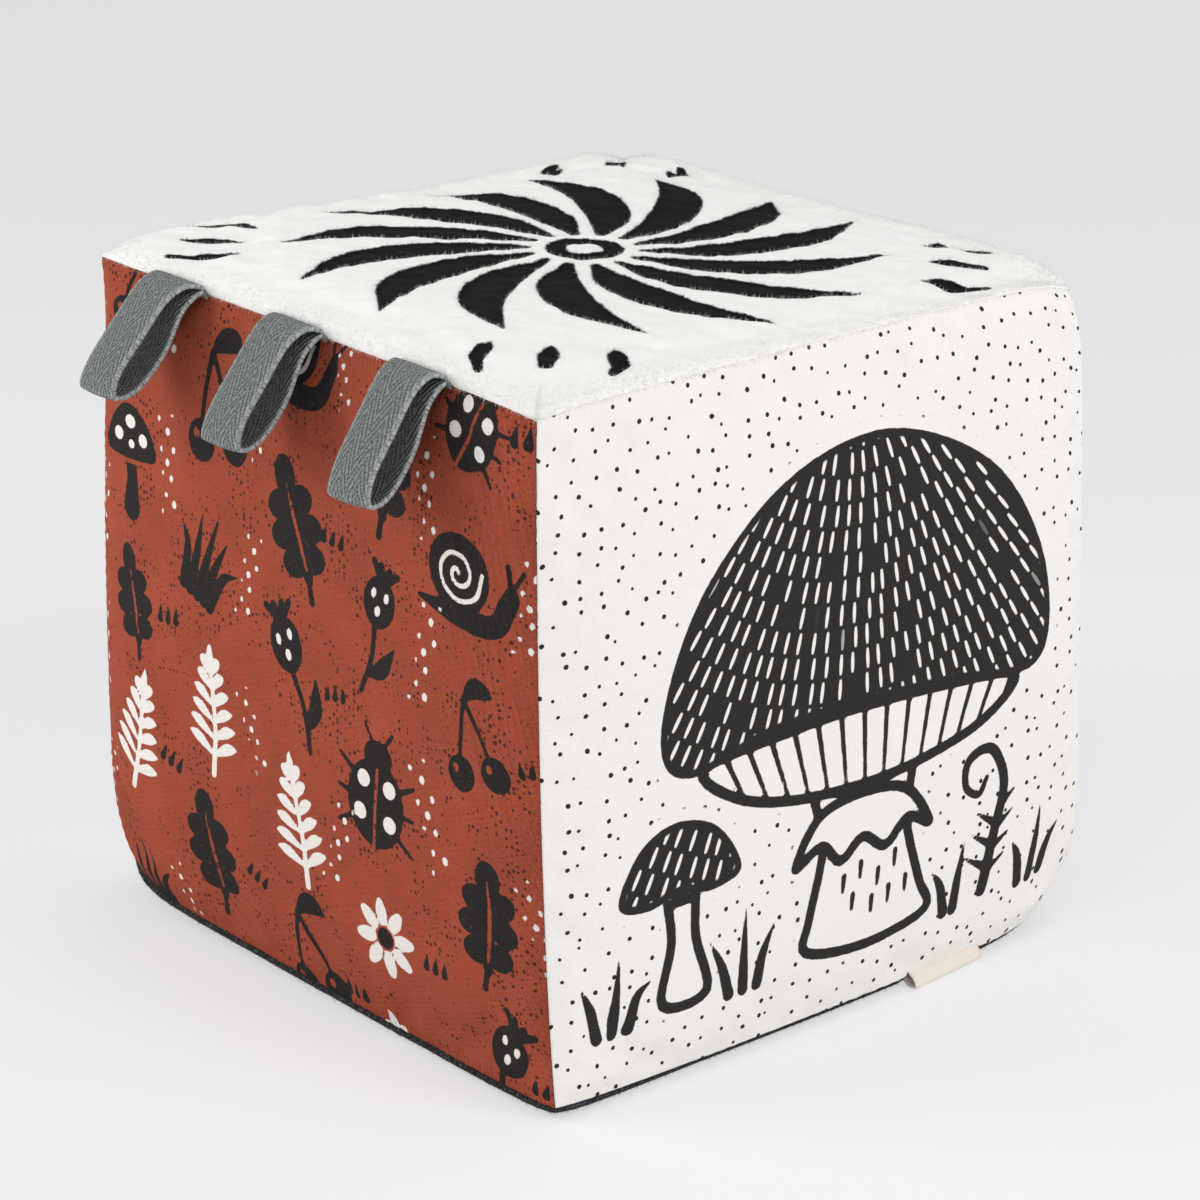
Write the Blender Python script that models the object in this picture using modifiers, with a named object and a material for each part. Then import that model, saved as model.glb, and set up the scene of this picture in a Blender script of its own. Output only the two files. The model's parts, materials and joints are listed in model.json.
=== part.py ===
"""A soft fabric play block: six sewn cover panels over a foam core that holds a rattle.

The block stands on its base, with its origin at the middle of the base. +Z is up. The dotted
panel faces -Y, and the panel under the three ribbon loops faces -X. Lengths are in metres.
"""

import math
from collections import namedtuple

import bmesh
import bpy
from mathutils import Matrix, Vector

# The sewn cover, measured to the sharp edges that its faces would meet in
BLOCK_WIDTH = 0.1555
BLOCK_HEIGHT = 0.1535
EDGE_LIFT = 0.0004
SIDE_CROWN = 0.003
TOP_CROWN = 0.002
BASE_CROWN = 0.002

# How its edges leave the straight: the sides flare and belly, the top draws in, the base spreads
FLARE = 0.002
BELLY = 0.0004
TOP_DRAW = 0.001
BASE_SPREAD = 0.001
TOP_CORNER_DRAW = 0.0015
BACK_TOP_DRAW = 0.004
FOOT_DRAW = 0.0055
FRONT_FOOT_DRAW = 0.0005
CORNER_POWER = 10

# The cloths, and the folds that turn their edges in
COTTON = 0.0007
PLUSH = 0.0015
COTTON_FOLD = 0.001
PLUSH_FOLD = 0.002
SEAM_DEPTH = 0.009
SEAM_GAP = 0.0003
CLEARANCE = 0.0003
ALLOWANCE_ROOM = 0.0018
FACE_CELLS = 12
FOLD_STEPS = 3

# Seam thread
THREAD_RADIUS = 0.0003
STITCH_DEPTH = 0.0015
BACK_TACK = 0.009

# Crinkle film behind the front panel
FILM = 0.0002
FILM_MARGIN = 0.008

# Grey tape loops in the seam of the top and left panels, with the hinge that each bends at
RIBBON_WIDTH = 0.0155
RIBBON = 0.0008
RIBBON_TAIL = 0.0016
RIBBON_TAIL_START = 0.0015
RIBBON_ROOT_INSET = 0.0007
LAYER_GAP = 0.0003
LOOP_SPACING = 0.043
LOOP_SHIFT = 0.001
LOOP_REACHES = (0.0212, 0.0230, 0.0248)
LOOP_DROPS = (0.0230, 0.0214, 0.0200)

# The middle line of a loop's tape: shares of its reach outwards, and of its drop downwards
LOOP_PATH_SHARES = (
    (0.18, -0.07),
    (0.40, 0.05),
    (0.64, 0.36),
    (0.90, 0.72),
    (0.94, 0.97),
    (0.71, 0.93),
    (0.42, 0.60),
    (0.22, 0.19),
)

# Cream label in the seam of the front and bottom panels, with its hinge off the sharp edge
LABEL_WIDTH = 0.023
LABEL = 0.0004
LABEL_TAIL = 0.0008
LABEL_TAIL_START = 0.0005
LABEL_ROOT_INSET = 0.0005
LABEL_HINGE_OUT = 0.0006
LABEL_HINGE_UP = 0.0015
LABEL_FROM_SIDE = 0.04025
LABEL_REACH = 0.003
LABEL_DROP = 0.0014

# The middle line of the label's tape, in the same way
LABEL_PATH_SHARES = (
    (0.33, -0.15),
    (0.72, 0.25),
    (0.95, 0.78),
    (0.78, 0.98),
    (0.42, 0.55),
)

# Rattle capsule and its beads
RATTLE_RADIUS = 0.019
RATTLE_HEIGHT = 0.020
RATTLE_WALL = 0.0014
RATTLE_ROUND = 0.006
RATTLE_LIP = 0.0015
RATTLE_STEPS = 24
ROUND_STEPS = 3
BEAD_RADIUS = 0.0035
BEAD_RING = 0.0085
BEADS = 3

# Cutters run this far past what they cut, and meshes weld at this distance
OVERRUN = 0.003
WELD = 0.00001

HALF_WIDTH = BLOCK_WIDTH / 2
HALF_HEIGHT = (BLOCK_HEIGHT - EDGE_LIFT) / 2
CENTRE = Vector((0, 0, EDGE_LIFT + HALF_HEIGHT))
DIAGONAL = math.sqrt(2)

Face = namedtuple("Face", "across up out cloth fold crown behind")

FACES = {
    "front": Face((1, 0, 0), (0, 0, 1), (0, -1, 0), COTTON, COTTON_FOLD, SIDE_CROWN, FILM + CLEARANCE),
    "right": Face((0, 1, 0), (0, 0, 1), (1, 0, 0), COTTON, COTTON_FOLD, SIDE_CROWN, 0),
    "back": Face((-1, 0, 0), (0, 0, 1), (0, 1, 0), COTTON, COTTON_FOLD, SIDE_CROWN, 0),
    "left": Face((0, -1, 0), (0, 0, 1), (-1, 0, 0), COTTON, COTTON_FOLD, SIDE_CROWN, 0),
    "top": Face((1, 0, 0), (0, 1, 0), (0, 0, 1), PLUSH, PLUSH_FOLD, TOP_CROWN, 0),
    "bottom": Face((1, 0, 0), (0, -1, 0), (0, 0, -1), COTTON, COTTON_FOLD, BASE_CROWN, 0),
}

# Each seam joins an edge of the panel named first, given as (across, up), to the panel named second
SEAMS = {
    ("front", "left"): (-1, 0),
    ("front", "right"): (1, 0),
    ("back", "right"): (-1, 0),
    ("back", "left"): (1, 0),
    ("front", "top"): (0, 1),
    ("right", "top"): (0, 1),
    ("back", "top"): (0, 1),
    ("left", "top"): (0, 1),
    ("front", "bottom"): (0, -1),
    ("right", "bottom"): (0, -1),
    ("left", "bottom"): (0, -1),
    ("back", "bottom"): (0, -1),
}
CLOSING_SEAM = ("back", "bottom")

Tape = namedtuple("Tape", "width thickness tail tail_start root_inset hinge_out hinge_up")

LOOP_TAPE = Tape(RIBBON_WIDTH, RIBBON, RIBBON_TAIL, RIBBON_TAIL_START, RIBBON_ROOT_INSET, 0, 0)
LABEL_TAPE = Tape(
    LABEL_WIDTH, LABEL, LABEL_TAIL, LABEL_TAIL_START, LABEL_ROOT_INSET, LABEL_HINGE_OUT, LABEL_HINGE_UP
)

COLOURS = {
    "dotted_cotton": ((0.86, 0.85, 0.82), 0.85, 0.0),
    "rust_twill": ((0.40, 0.085, 0.042), 0.85, 0.0),
    "plush": ((0.88, 0.87, 0.84), 0.95, 0.0),
    "charcoal_felt": ((0.045, 0.046, 0.052), 0.95, 0.0),
    "grey_tape": ((0.13, 0.145, 0.15), 0.8, 0.0),
    "cream_tape": ((0.80, 0.70, 0.54), 0.8, 0.0),
    "foam": ((0.82, 0.78, 0.62), 0.9, 0.0),
    "thread": ((0.80, 0.79, 0.75), 0.7, 0.0),
    "film": ((0.70, 0.72, 0.74), 0.25, 0.0),
    "rattle_plastic": ((0.62, 0.66, 0.70), 0.35, 0.0),
    "bead_plastic": ((0.55, 0.30, 0.08), 0.3, 0.0),
}


def clear_scene():
    """Remove what the scene holds, so that each run starts alike."""
    for item in list(bpy.data.objects):
        bpy.data.objects.remove(item)


def new_collection(name):
    """A collection of that name, linked to the scene."""
    group = bpy.data.collections.new(name)
    bpy.context.scene.collection.children.link(group)
    return group


def new_materials():
    """One plain material for each cloth, plastic and thread."""
    made = {}
    for name, (colour, roughness, metallic) in COLOURS.items():
        material = bpy.data.materials.new(name)
        material.use_nodes = True
        surface = material.node_tree.nodes["Principled BSDF"]
        surface.inputs["Base Color"].default_value = (*colour, 1)
        surface.inputs["Roughness"].default_value = roughness
        surface.inputs["Metallic"].default_value = metallic
        made[name] = material
    return made


def add_object(name, data, material, group):
    """Link a mesh or curve as a named object with its material."""
    item = bpy.data.objects.new(name, data)
    if material:
        data.materials.append(material)
    group.objects.link(item)
    return item


def mesh_object(name, shape, material, group):
    """Turn a bmesh into a smoothly shaded object, and free it."""
    data = bpy.data.meshes.new(name)
    shape.to_mesh(data)
    shape.free()
    data.shade_smooth()
    data.set_sharp_from_angle(angle=math.radians(40))
    return add_object(name, data, material, group)


def curve_to_mesh(item):
    """Replace a curve object by the mesh that it draws, with its caps welded on."""
    drawn = item.evaluated_get(bpy.context.evaluated_depsgraph_get())
    data = bpy.data.meshes.new_from_object(drawn)
    shape = bmesh.new()
    shape.from_mesh(data)
    bmesh.ops.remove_doubles(shape, verts=shape.verts, dist=WELD)
    shape.to_mesh(data)
    shape.free()
    name, group, place = item.name, item.users_collection[0], item.matrix_world.copy()
    material = item.data.materials[0]
    bpy.data.objects.remove(item)
    data.materials.clear()
    mesh_item = add_object(name, data, material, group)
    mesh_item.matrix_world = place
    return mesh_item


def solidify(item, thickness, offset):
    """Give an open surface its thickness, to the inside, the outside or both."""
    modifier = item.modifiers.new("thickness", "SOLIDIFY")
    modifier.thickness = thickness
    modifier.offset = offset
    modifier.use_even_offset = True
    modifier.use_quality_normals = True


def cut(item, cutter):
    """Cut one object's shape out of another."""
    modifier = item.modifiers.new("cut", "BOOLEAN")
    modifier.operation = "DIFFERENCE"
    modifier.object = cutter


def ease(share):
    """Crowd evenly spaced shares towards -1 and 1, where the cover curves most."""
    return math.sin(math.pi / 2 * share)


def corner_draw(q):
    """How far the corner nearest to a point of the unit cube is drawn in."""
    if q.z > 0:
        return BACK_TOP_DRAW if q.x > 0 and q.y > 0 else TOP_CORNER_DRAW
    if q.x < 0 and q.y < 0:
        return FRONT_FOOT_DRAW
    return FOOT_DRAW


def reach(axis, q):
    """How far the cover stands from the block's centre along one axis, at a point of the unit cube."""
    first, second = (q[other] for other in range(3) if other != axis)
    drawn = corner_draw(q) * abs(first * second) ** CORNER_POWER
    if axis == 2:
        return HALF_HEIGHT - drawn
    along = q[1 - axis]
    bow = (BASE_SPREAD * (1 - q.z) - TOP_DRAW * (1 + q.z)) / 2
    belly = BELLY * (1 - q.z**2) + FLARE * (1 - q.z) / 2
    return HALF_WIDTH + bow * (1 - along**2) + belly - drawn


def swell(face, across, up):
    """How far a face puffs out past its edges."""
    return face.crown * (1 - across**4) * (1 - up**4)


def cover_point(face, across, up, outset, depth):
    """A point of one face's cover, from its shares across and up the face.

    The outset moves it outwards within the face, and the depth moves it into the block.
    """
    q = Vector(face.across) * across + Vector(face.up) * up + Vector(face.out)
    point = Vector()
    for axis in range(3):
        span = reach(axis, q)
        if face.out[axis]:
            point[axis] = q[axis] * (span + swell(face, across, up) - depth)
        else:
            point[axis] = q[axis] * (span + outset)
    point += CENTRE
    if face is FACES["bottom"]:
        point.z = max(point.z, depth)
    return point


def fold_rings(radius):
    """(outset, depth) from a face's edge, round its fold and down its seam allowance."""
    start = -(1 + DIAGONAL) * radius - SEAM_GAP / DIAGONAL
    rings = []
    for step in range(FOLD_STEPS + 1):
        turn = math.radians(135) * step / FOLD_STEPS
        rings.append((start + radius * math.sin(turn), radius * (1 - math.cos(turn))))
    outset, depth = rings[-1]
    allowance = SEAM_DEPTH / DIAGONAL - depth
    rings.append((outset - allowance, depth + allowance))
    return rings


def cover_panel(name, face, material, group):
    """One panel: its crowned face, its folded edges and its seam allowances."""
    shape = bmesh.new()
    bmesh.ops.create_grid(shape, x_segments=FACE_CELLS, y_segments=FACE_CELLS, size=1)
    rings = fold_rings(face.fold)
    rim = [edge for edge in shape.edges if edge.is_boundary]
    for _ in rings[1:]:
        made = bmesh.ops.extrude_edge_only(shape, edges=rim)["geom"]
        for part in made:
            if isinstance(part, bmesh.types.BMVert):
                part.co.z += 1
        rim = [part for part in made if isinstance(part, bmesh.types.BMEdge) and part.is_boundary]
    for vert in shape.verts:
        outset, depth = rings[round(vert.co.z)]
        vert.co = cover_point(face, ease(vert.co.x), ease(vert.co.y), outset, depth)
    panel = mesh_object(name, shape, material, group)
    solidify(panel, face.cloth, -1)
    return panel


def face_towards(axis, q):
    """The face that looks along an axis, on the same side of the block as a point."""
    side = 1 if q[axis] > 0 else -1
    for face in FACES.values():
        if face.out[axis] == side:
            return face


def under_face(axis, q, edge_radius):
    """A point of the core under the face along one axis: under that face's own grid of points."""
    face = face_towards(axis, q)
    outset, _ = fold_rings(face.fold)[0]
    others = [other for other in range(3) if other != axis]
    flat, inner = Vector(), Vector()
    for side in range(3):
        inset = face_towards(side, q).cloth + face_towards(side, q).behind + CLEARANCE
        cover = reach(side, q)
        flat[side] = q[side] * (cover - inset if side == axis else cover + outset)
        limit = cover - inset - edge_radius
        inner[side] = max(-limit, min(limit, flat[side]))
    point = inner + (flat - inner).normalized() * edge_radius
    point[axis] += q[axis] * swell(face, *(q[other] for other in others))
    return point


def core_point(q, edge_radius):
    """A point of the foam core: the cover's own shape, set in by its cloth, with rounded edges."""
    under = [under_face(axis, q, edge_radius) for axis in range(3) if abs(q[axis]) == 1]
    point = sum(under, Vector()) / len(under) + CENTRE
    point.z = max(point.z, COTTON + CLEARANCE)
    return point


def core_slab(name, side, material, group):
    """The lower (-1) or upper (1) half of the foam core, cut level at the block's middle."""
    shape = bmesh.new()
    bmesh.ops.create_cube(shape, size=2)
    bmesh.ops.subdivide_edges(shape, edges=shape.edges, cuts=FACE_CELLS - 1, use_grid_fill=True)
    past = [vert for vert in shape.verts if vert.co.z * side < -WELD]
    bmesh.ops.delete(shape, geom=past, context="VERTS")
    edge_radius = (SEAM_DEPTH + ALLOWANCE_ROOM - DIAGONAL * (COTTON + CLEARANCE)) / (DIAGONAL - 1)
    split = [vert for vert in shape.verts if abs(vert.co.z) <= WELD]
    for vert in shape.verts:
        vert.co = core_point(Vector([ease(share) for share in vert.co]), edge_radius)
    for vert in split:
        vert.co.z = CENTRE.z + side * CLEARANCE / 2
    bmesh.ops.contextual_create(shape, geom=[edge for edge in shape.edges if edge.is_boundary])
    bmesh.ops.recalc_face_normals(shape, faces=shape.faces)
    return mesh_object(name, shape, material, group)


def pocket_cutter(group):
    """The rattle's round pocket, half of it in each slab."""
    shape = bmesh.new()
    radius = RATTLE_RADIUS + CLEARANCE
    height = RATTLE_HEIGHT + 2 * CLEARANCE
    bmesh.ops.create_cone(
        shape, cap_ends=True, segments=RATTLE_STEPS, radius1=radius, radius2=radius, depth=height
    )
    cutter = mesh_object("pocket_cutter", shape, None, group)
    cutter.location = CENTRE
    hide_cutter(cutter)
    return cutter


def hide_cutter(item):
    """Keep a cutter out of renders."""
    item.hide_render = True
    item.display_type = "WIRE"


def crinkle_film(name, material, group):
    """The thin film behind the front panel, a margin clear of its seams."""
    face = FACES["front"]
    edge_share = 1 - (FILM_MARGIN + COTTON_FOLD) / HALF_WIDTH
    shape = bmesh.new()
    bmesh.ops.create_grid(shape, x_segments=FACE_CELLS, y_segments=FACE_CELLS, size=1)
    outset, _ = fold_rings(face.fold)[0]
    past = [vert for vert in shape.verts if max(abs(ease(vert.co.x)), abs(ease(vert.co.y))) > edge_share]
    bmesh.ops.delete(shape, geom=past, context="VERTS")
    for vert in shape.verts:
        vert.co = cover_point(face, ease(vert.co.x), ease(vert.co.y), outset, face.cloth + CLEARANCE)
    film = mesh_object(name, shape, material, group)
    solidify(film, FILM, -1)
    return film


def thread_point(face, edge, along):
    """A point of a seam's thread, on the inner side of the allowance of the face that carries it."""
    outset, depth = fold_rings(face.fold)[-2]
    side = face.cloth + CLEARANCE + THREAD_RADIUS
    outset -= (STITCH_DEPTH + side) / DIAGONAL
    depth += (STITCH_DEPTH - side) / DIAGONAL
    across, up = edge
    if across:
        return cover_point(face, across, along, outset, depth)
    return cover_point(face, along, up, outset, depth)


def seam_thread(name, face, edge, material, group):
    """One seam's run of stitching, stopped short of the corners."""
    end_share = 1 - BACK_TACK / HALF_WIDTH
    ticks = [ease(2 * step / FACE_CELLS - 1) for step in range(FACE_CELLS + 1)]
    points = [thread_point(face, edge, tick) for tick in ticks if abs(tick) <= end_share]
    curve = bpy.data.curves.new(name, "CURVE")
    curve.dimensions = "3D"
    curve.bevel_depth = THREAD_RADIUS
    curve.bevel_resolution = 1
    curve.use_fill_caps = True
    spline = curve.splines.new("POLY")
    spline.points.add(len(points) - 1)
    for knot, point in zip(spline.points, points):
        knot.co = (*point, 1)
    return curve_to_mesh(add_object(name, curve, material, group))


def edge_place(face, other, along):
    """The sharp edge that two faces would meet in, at a distance along it from its middle."""
    q = Vector(face.out) + Vector(other.out) + Vector(face.across) * (along / HALF_WIDTH)
    point = Vector([q[axis] * reach(axis, q) for axis in range(3)])
    return point + CENTRE


def seam_frame(face, other, place):
    """Axes into the seam, square to it and along it, placed on the sharp edge."""
    inward = -(Vector(face.out) + Vector(other.out)).normalized()
    along = Vector(face.across)
    square = along.cross(inward)
    turn = Matrix((inward, square, along)).transposed().to_4x4()
    return Matrix.Translation(place) @ turn


def seam_plate(name, frame, start, end, thickness, width, material, group):
    """A flat plate that lies between two seam allowances, from one depth to another."""
    shape = bmesh.new()
    size = Vector((end - start, thickness, width))
    middle = Vector(((start + end) / 2, 0, 0))
    bmesh.ops.create_cube(shape, size=1, matrix=Matrix.Translation(middle) @ Matrix.Diagonal(size).to_4x4())
    plate = mesh_object(name, shape, material, group)
    plate.matrix_world = frame
    return plate


def tape_fold(name, edge, face, path, tape, material, group):
    """A folded tape: out of the seam at its hinge, round its path and back into the seam."""
    curve = bpy.data.curves.new(name, "CURVE")
    curve.dimensions = "2D"
    curve.fill_mode = "NONE"
    curve.extrude = tape.width / 2
    curve.resolution_u = 3
    spline = curve.splines.new("BEZIER")
    root_half = (tape.thickness + LAYER_GAP) / 2
    points = [(-tape.root_inset, root_half), *path, (-tape.root_inset, -root_half)]
    spline.bezier_points.add(len(points) - 1)
    for knot, (out, up) in zip(spline.bezier_points, points):
        knot.co = (out, up, 0)
        knot.handle_left_type = "AUTO"
        knot.handle_right_type = "AUTO"
    item = add_object(name, curve, material, group)
    outwards, upwards = Vector(face.out), Vector((0, 0, 1))
    turn = Matrix((outwards, upwards, outwards.cross(upwards))).transposed().to_4x4()
    hinge = edge + outwards * tape.hinge_out + upwards * tape.hinge_up
    item.matrix_world = Matrix.Translation(hinge) @ turn
    bpy.context.view_layer.update()
    fold = curve_to_mesh(item)
    fold.data.shade_smooth()
    solidify(fold, tape.thickness, 0)


def sewn_tape(kind, number, seam, along, path, tape, material, panels, groups):
    """A tape fold with its sewn-in tail, and the recess that both panels leave for the tail."""
    face, other = (FACES[side] for side in seam)
    edge = edge_place(face, other, along)
    frame = seam_frame(face, other, edge)
    main, cutters = groups
    seam_plate(
        f"{kind}_tail{number}", frame, tape.tail_start, SEAM_DEPTH,
        tape.tail, tape.width, material, main,
    )
    cutter = seam_plate(
        f"{kind}_recess{number}", frame, -OVERRUN, SEAM_DEPTH + OVERRUN,
        tape.tail + 2 * CLEARANCE, tape.width + 2 * CLEARANCE, None, cutters,
    )
    hide_cutter(cutter)
    for side in seam:
        cut(panels[side], cutter)
    tape_fold(f"{kind}{number}", edge, face, path, tape, material, main)


def arc(centre, radius, start, end):
    """Points of an arc about (x, z), between two angles in degrees."""
    points = []
    for step in range(ROUND_STEPS + 1):
        angle = math.radians(start + (end - start) * step / ROUND_STEPS)
        points.append((centre[0] + radius * math.cos(angle), centre[1] + radius * math.sin(angle)))
    return points


def turned(name, profile, material, group):
    """A solid turned from its (radius, height) profile, placed at the block's middle."""
    data = bpy.data.meshes.new(name)
    verts = [(radius, 0, height) for radius, height in profile]
    data.from_pydata(verts, [(step, step + 1) for step in range(len(verts) - 1)], [])
    item = add_object(name, data, material, group)
    item.location = CENTRE
    screw = item.modifiers.new("turn", "SCREW")
    screw.steps = RATTLE_STEPS
    screw.render_steps = RATTLE_STEPS
    screw.use_merge_vertices = True
    screw.merge_threshold = WELD
    screw.use_smooth_shade = True
    return item


def rattle_shells(material, group):
    """The capsule's two cups, the lower with a lip that locates the upper."""
    half = RATTLE_HEIGHT / 2
    bore = RATTLE_RADIUS - RATTLE_WALL
    middle = RATTLE_RADIUS - RATTLE_WALL / 2
    corner_x, corner_z = RATTLE_RADIUS - RATTLE_ROUND, half - RATTLE_ROUND
    inner_round = RATTLE_ROUND - RATTLE_WALL
    seat = CLEARANCE / 2
    lower = [
        (0, RATTLE_WALL - half),
        *arc((corner_x, -corner_z), inner_round, -90, 0),
        (bore, RATTLE_LIP),
        (middle - seat, RATTLE_LIP),
        (middle - seat, -seat),
        (RATTLE_RADIUS, -seat),
        *arc((corner_x, -corner_z), RATTLE_ROUND, 0, -90),
        (0, -half),
    ]
    upper = [
        (0, half),
        *arc((corner_x, corner_z), RATTLE_ROUND, 90, 0),
        (RATTLE_RADIUS, seat),
        (middle + seat, seat),
        (middle + seat, RATTLE_LIP + CLEARANCE),
        (bore, RATTLE_LIP + CLEARANCE),
        *arc((corner_x, corner_z), inner_round, 0, 90),
        (0, half - RATTLE_WALL),
    ]
    turned("rattle_shell_lower", lower, material, group)
    turned("rattle_shell_upper", upper, material, group)


def rattle_beads(material, group):
    """Loose beads on the floor of the capsule, spread round it."""
    floor = CENTRE.z - RATTLE_HEIGHT / 2 + RATTLE_WALL
    for number in range(BEADS):
        shape = bmesh.new()
        bmesh.ops.create_uvsphere(shape, u_segments=12, v_segments=8, radius=BEAD_RADIUS)
        bead = mesh_object(f"rattle_bead_{number + 1}", shape, material, group)
        turn = 2 * math.pi * number / BEADS
        bead.location = (
            BEAD_RING * math.cos(turn),
            BEAD_RING * math.sin(turn),
            floor + CLEARANCE + BEAD_RADIUS,
        )


def cover_panels(materials, group):
    """All six panels of the cover."""
    cloths = {
        "front": "dotted_cotton",
        "right": "rust_twill",
        "back": "dotted_cotton",
        "left": "rust_twill",
        "top": "plush",
        "bottom": "charcoal_felt",
    }
    return {
        side: cover_panel(f"{side}_panel", FACES[side], materials[cloth], group)
        for side, cloth in cloths.items()
    }


def foam_core(material, groups):
    """Both slabs of foam, with the rattle's pocket cut in them."""
    main, cutters = groups
    pocket = pocket_cutter(cutters)
    for name, side in (("foam_core_lower", -1), ("foam_core_upper", 1)):
        cut(core_slab(name, side, material, main), pocket)


def seam_threads(material, group):
    """A thread in each seam, the last of them sewn by hand to close the cover."""
    for (side, other), edge in SEAMS.items():
        name = f"thread_{side}_{other}"
        if (side, other) == CLOSING_SEAM:
            name = f"closing_thread_{side}_{other}"
        seam_thread(name, FACES[side], edge, material, group)


def ribbon_loops(material, panels, groups):
    """Three loops of tape in the seam of the left and top panels."""
    for number, (out, drop) in enumerate(zip(LOOP_REACHES, LOOP_DROPS)):
        path = [(out * across, -drop * down) for across, down in LOOP_PATH_SHARES]
        along = (1 - number) * LOOP_SPACING - LOOP_SHIFT
        sewn_tape(
            "ribbon_loop", f"_{number + 1}", ("left", "top"), along, path,
            LOOP_TAPE, material, panels, groups,
        )


def label(material, panels, groups):
    """The blank label in the seam of the front and bottom panels."""
    path = [(LABEL_REACH * across, -LABEL_DROP * down) for across, down in LABEL_PATH_SHARES]
    sewn_tape(
        "label_tab", "", ("front", "bottom"), HALF_WIDTH - LABEL_FROM_SIDE, path,
        LABEL_TAPE, material, panels, groups,
    )


def main():
    """Build the whole block."""
    clear_scene()
    groups = new_collection("soft_fabric_block"), new_collection("cutters")
    materials = new_materials()
    panels = cover_panels(materials, groups[0])
    foam_core(materials["foam"], groups)
    crinkle_film("crinkle_film", materials["film"], groups[0])
    seam_threads(materials["thread"], groups[0])
    ribbon_loops(materials["grey_tape"], panels, groups)
    label(materials["cream_tape"], panels, groups)
    rattle_shells(materials["rattle_plastic"], groups[0])
    rattle_beads(materials["bead_plastic"], groups[0])


main()
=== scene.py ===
# %% [markdown]
# # Dressing a soft fabric block
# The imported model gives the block's bodies, sizes and joints. This lesson sews its cover,
# its ribbon loops and its label as fine cloth around that frame, and sets up a plain studio.
# Lengths are in metres unless a name ends in mm.

# %% Load the frame
import json
import math
from collections import namedtuple

import bpy
import numpy as np
from mathutils import Matrix, Vector


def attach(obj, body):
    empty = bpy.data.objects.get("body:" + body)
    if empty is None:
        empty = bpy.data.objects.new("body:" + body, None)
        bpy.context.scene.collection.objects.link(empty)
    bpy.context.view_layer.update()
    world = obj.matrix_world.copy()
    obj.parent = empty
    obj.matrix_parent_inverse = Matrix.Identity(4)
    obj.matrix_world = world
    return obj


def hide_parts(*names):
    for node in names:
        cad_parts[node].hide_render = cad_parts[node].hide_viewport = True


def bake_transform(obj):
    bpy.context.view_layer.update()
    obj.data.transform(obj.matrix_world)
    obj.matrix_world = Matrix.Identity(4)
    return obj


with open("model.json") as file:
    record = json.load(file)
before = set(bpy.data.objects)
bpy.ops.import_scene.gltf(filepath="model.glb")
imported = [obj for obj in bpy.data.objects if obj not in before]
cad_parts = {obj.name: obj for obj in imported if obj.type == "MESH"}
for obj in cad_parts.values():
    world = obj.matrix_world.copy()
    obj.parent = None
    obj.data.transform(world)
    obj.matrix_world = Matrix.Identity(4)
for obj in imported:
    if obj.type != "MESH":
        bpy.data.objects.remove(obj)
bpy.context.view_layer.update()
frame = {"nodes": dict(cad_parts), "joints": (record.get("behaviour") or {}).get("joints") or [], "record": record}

# %% [markdown]
# ## The camera
# A long lens from a little above, turned to the corner between the dotted panel and the panel
# with the loops. Its place is written as an angle, a height and a distance in block edges.

# %% Camera
EDGE = 0.152
LENS_MM, SENSOR_MM = 138, 36
AZIMUTH, ELEVATION, ROLL = (math.radians(angle) for angle in (-40, 20.33, 0.2))
AIM = Vector((0.013, -0.016, 0.489)) * EDGE
DISTANCE = 6.8 * EDGE

back = Vector((
    math.sin(AZIMUTH) * math.cos(ELEVATION),
    -math.cos(AZIMUTH) * math.cos(ELEVATION),
    math.sin(ELEVATION),
))
camera = bpy.data.objects.new("camera", bpy.data.cameras.new("camera"))
bpy.context.scene.collection.objects.link(camera)
camera.data.lens = LENS_MM
camera.data.sensor_width = SENSOR_MM
turned = back.to_track_quat("Z", "Y").to_matrix() @ Matrix.Rotation(-ROLL, 3, "Z")
camera.matrix_world = Matrix.Translation(AIM + back * DISTANCE) @ turned.to_4x4()
bpy.context.scene.camera = camera
print("camera at", [round(v, 3) for v in camera.location])

# %% [markdown]
# ## Light
# White cloth needs an even sky and little more. Two large soft lamps, one square to each panel
# that shows, brighten the far ends of both panels and give every fold a lit side.

# %% World and lamps
SKY = (0.98, 0.985, 1.0, 1)
SKY_STRENGTH = 0.66

world = bpy.data.worlds.new("studio")
world.use_nodes = True
world.node_tree.nodes["Background"].inputs["Color"].default_value = SKY
world.node_tree.nodes["Background"].inputs["Strength"].default_value = SKY_STRENGTH
bpy.context.scene.world = world
bpy.context.scene.view_settings.view_transform = "Standard"


def softbox(name, place, size, watts):
    """A square lamp that looks at the middle of the block."""
    lamp = bpy.data.lights.new(name, "AREA")
    lamp.size = size
    lamp.energy = watts
    holder = bpy.data.objects.new(name, lamp)
    bpy.context.scene.collection.objects.link(holder)
    holder.location = place
    holder.rotation_euler = (Vector(place) - AIM).to_track_quat("Z", "Y").to_euler()


softbox("right_softbox", (0.30, -1.08, 0.85), 0.8, 8.0)
softbox("left_softbox", (-0.55, 0.36, 0.36), 0.4, 2.2)

# %% [markdown]
# ## Shader maths as Python
# A finish is written as sums of distances across the cloth. Wrapping a socket in a small class
# lets `1 - mask` add its Math node by itself, so a pattern reads like the formula that it is.


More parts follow.
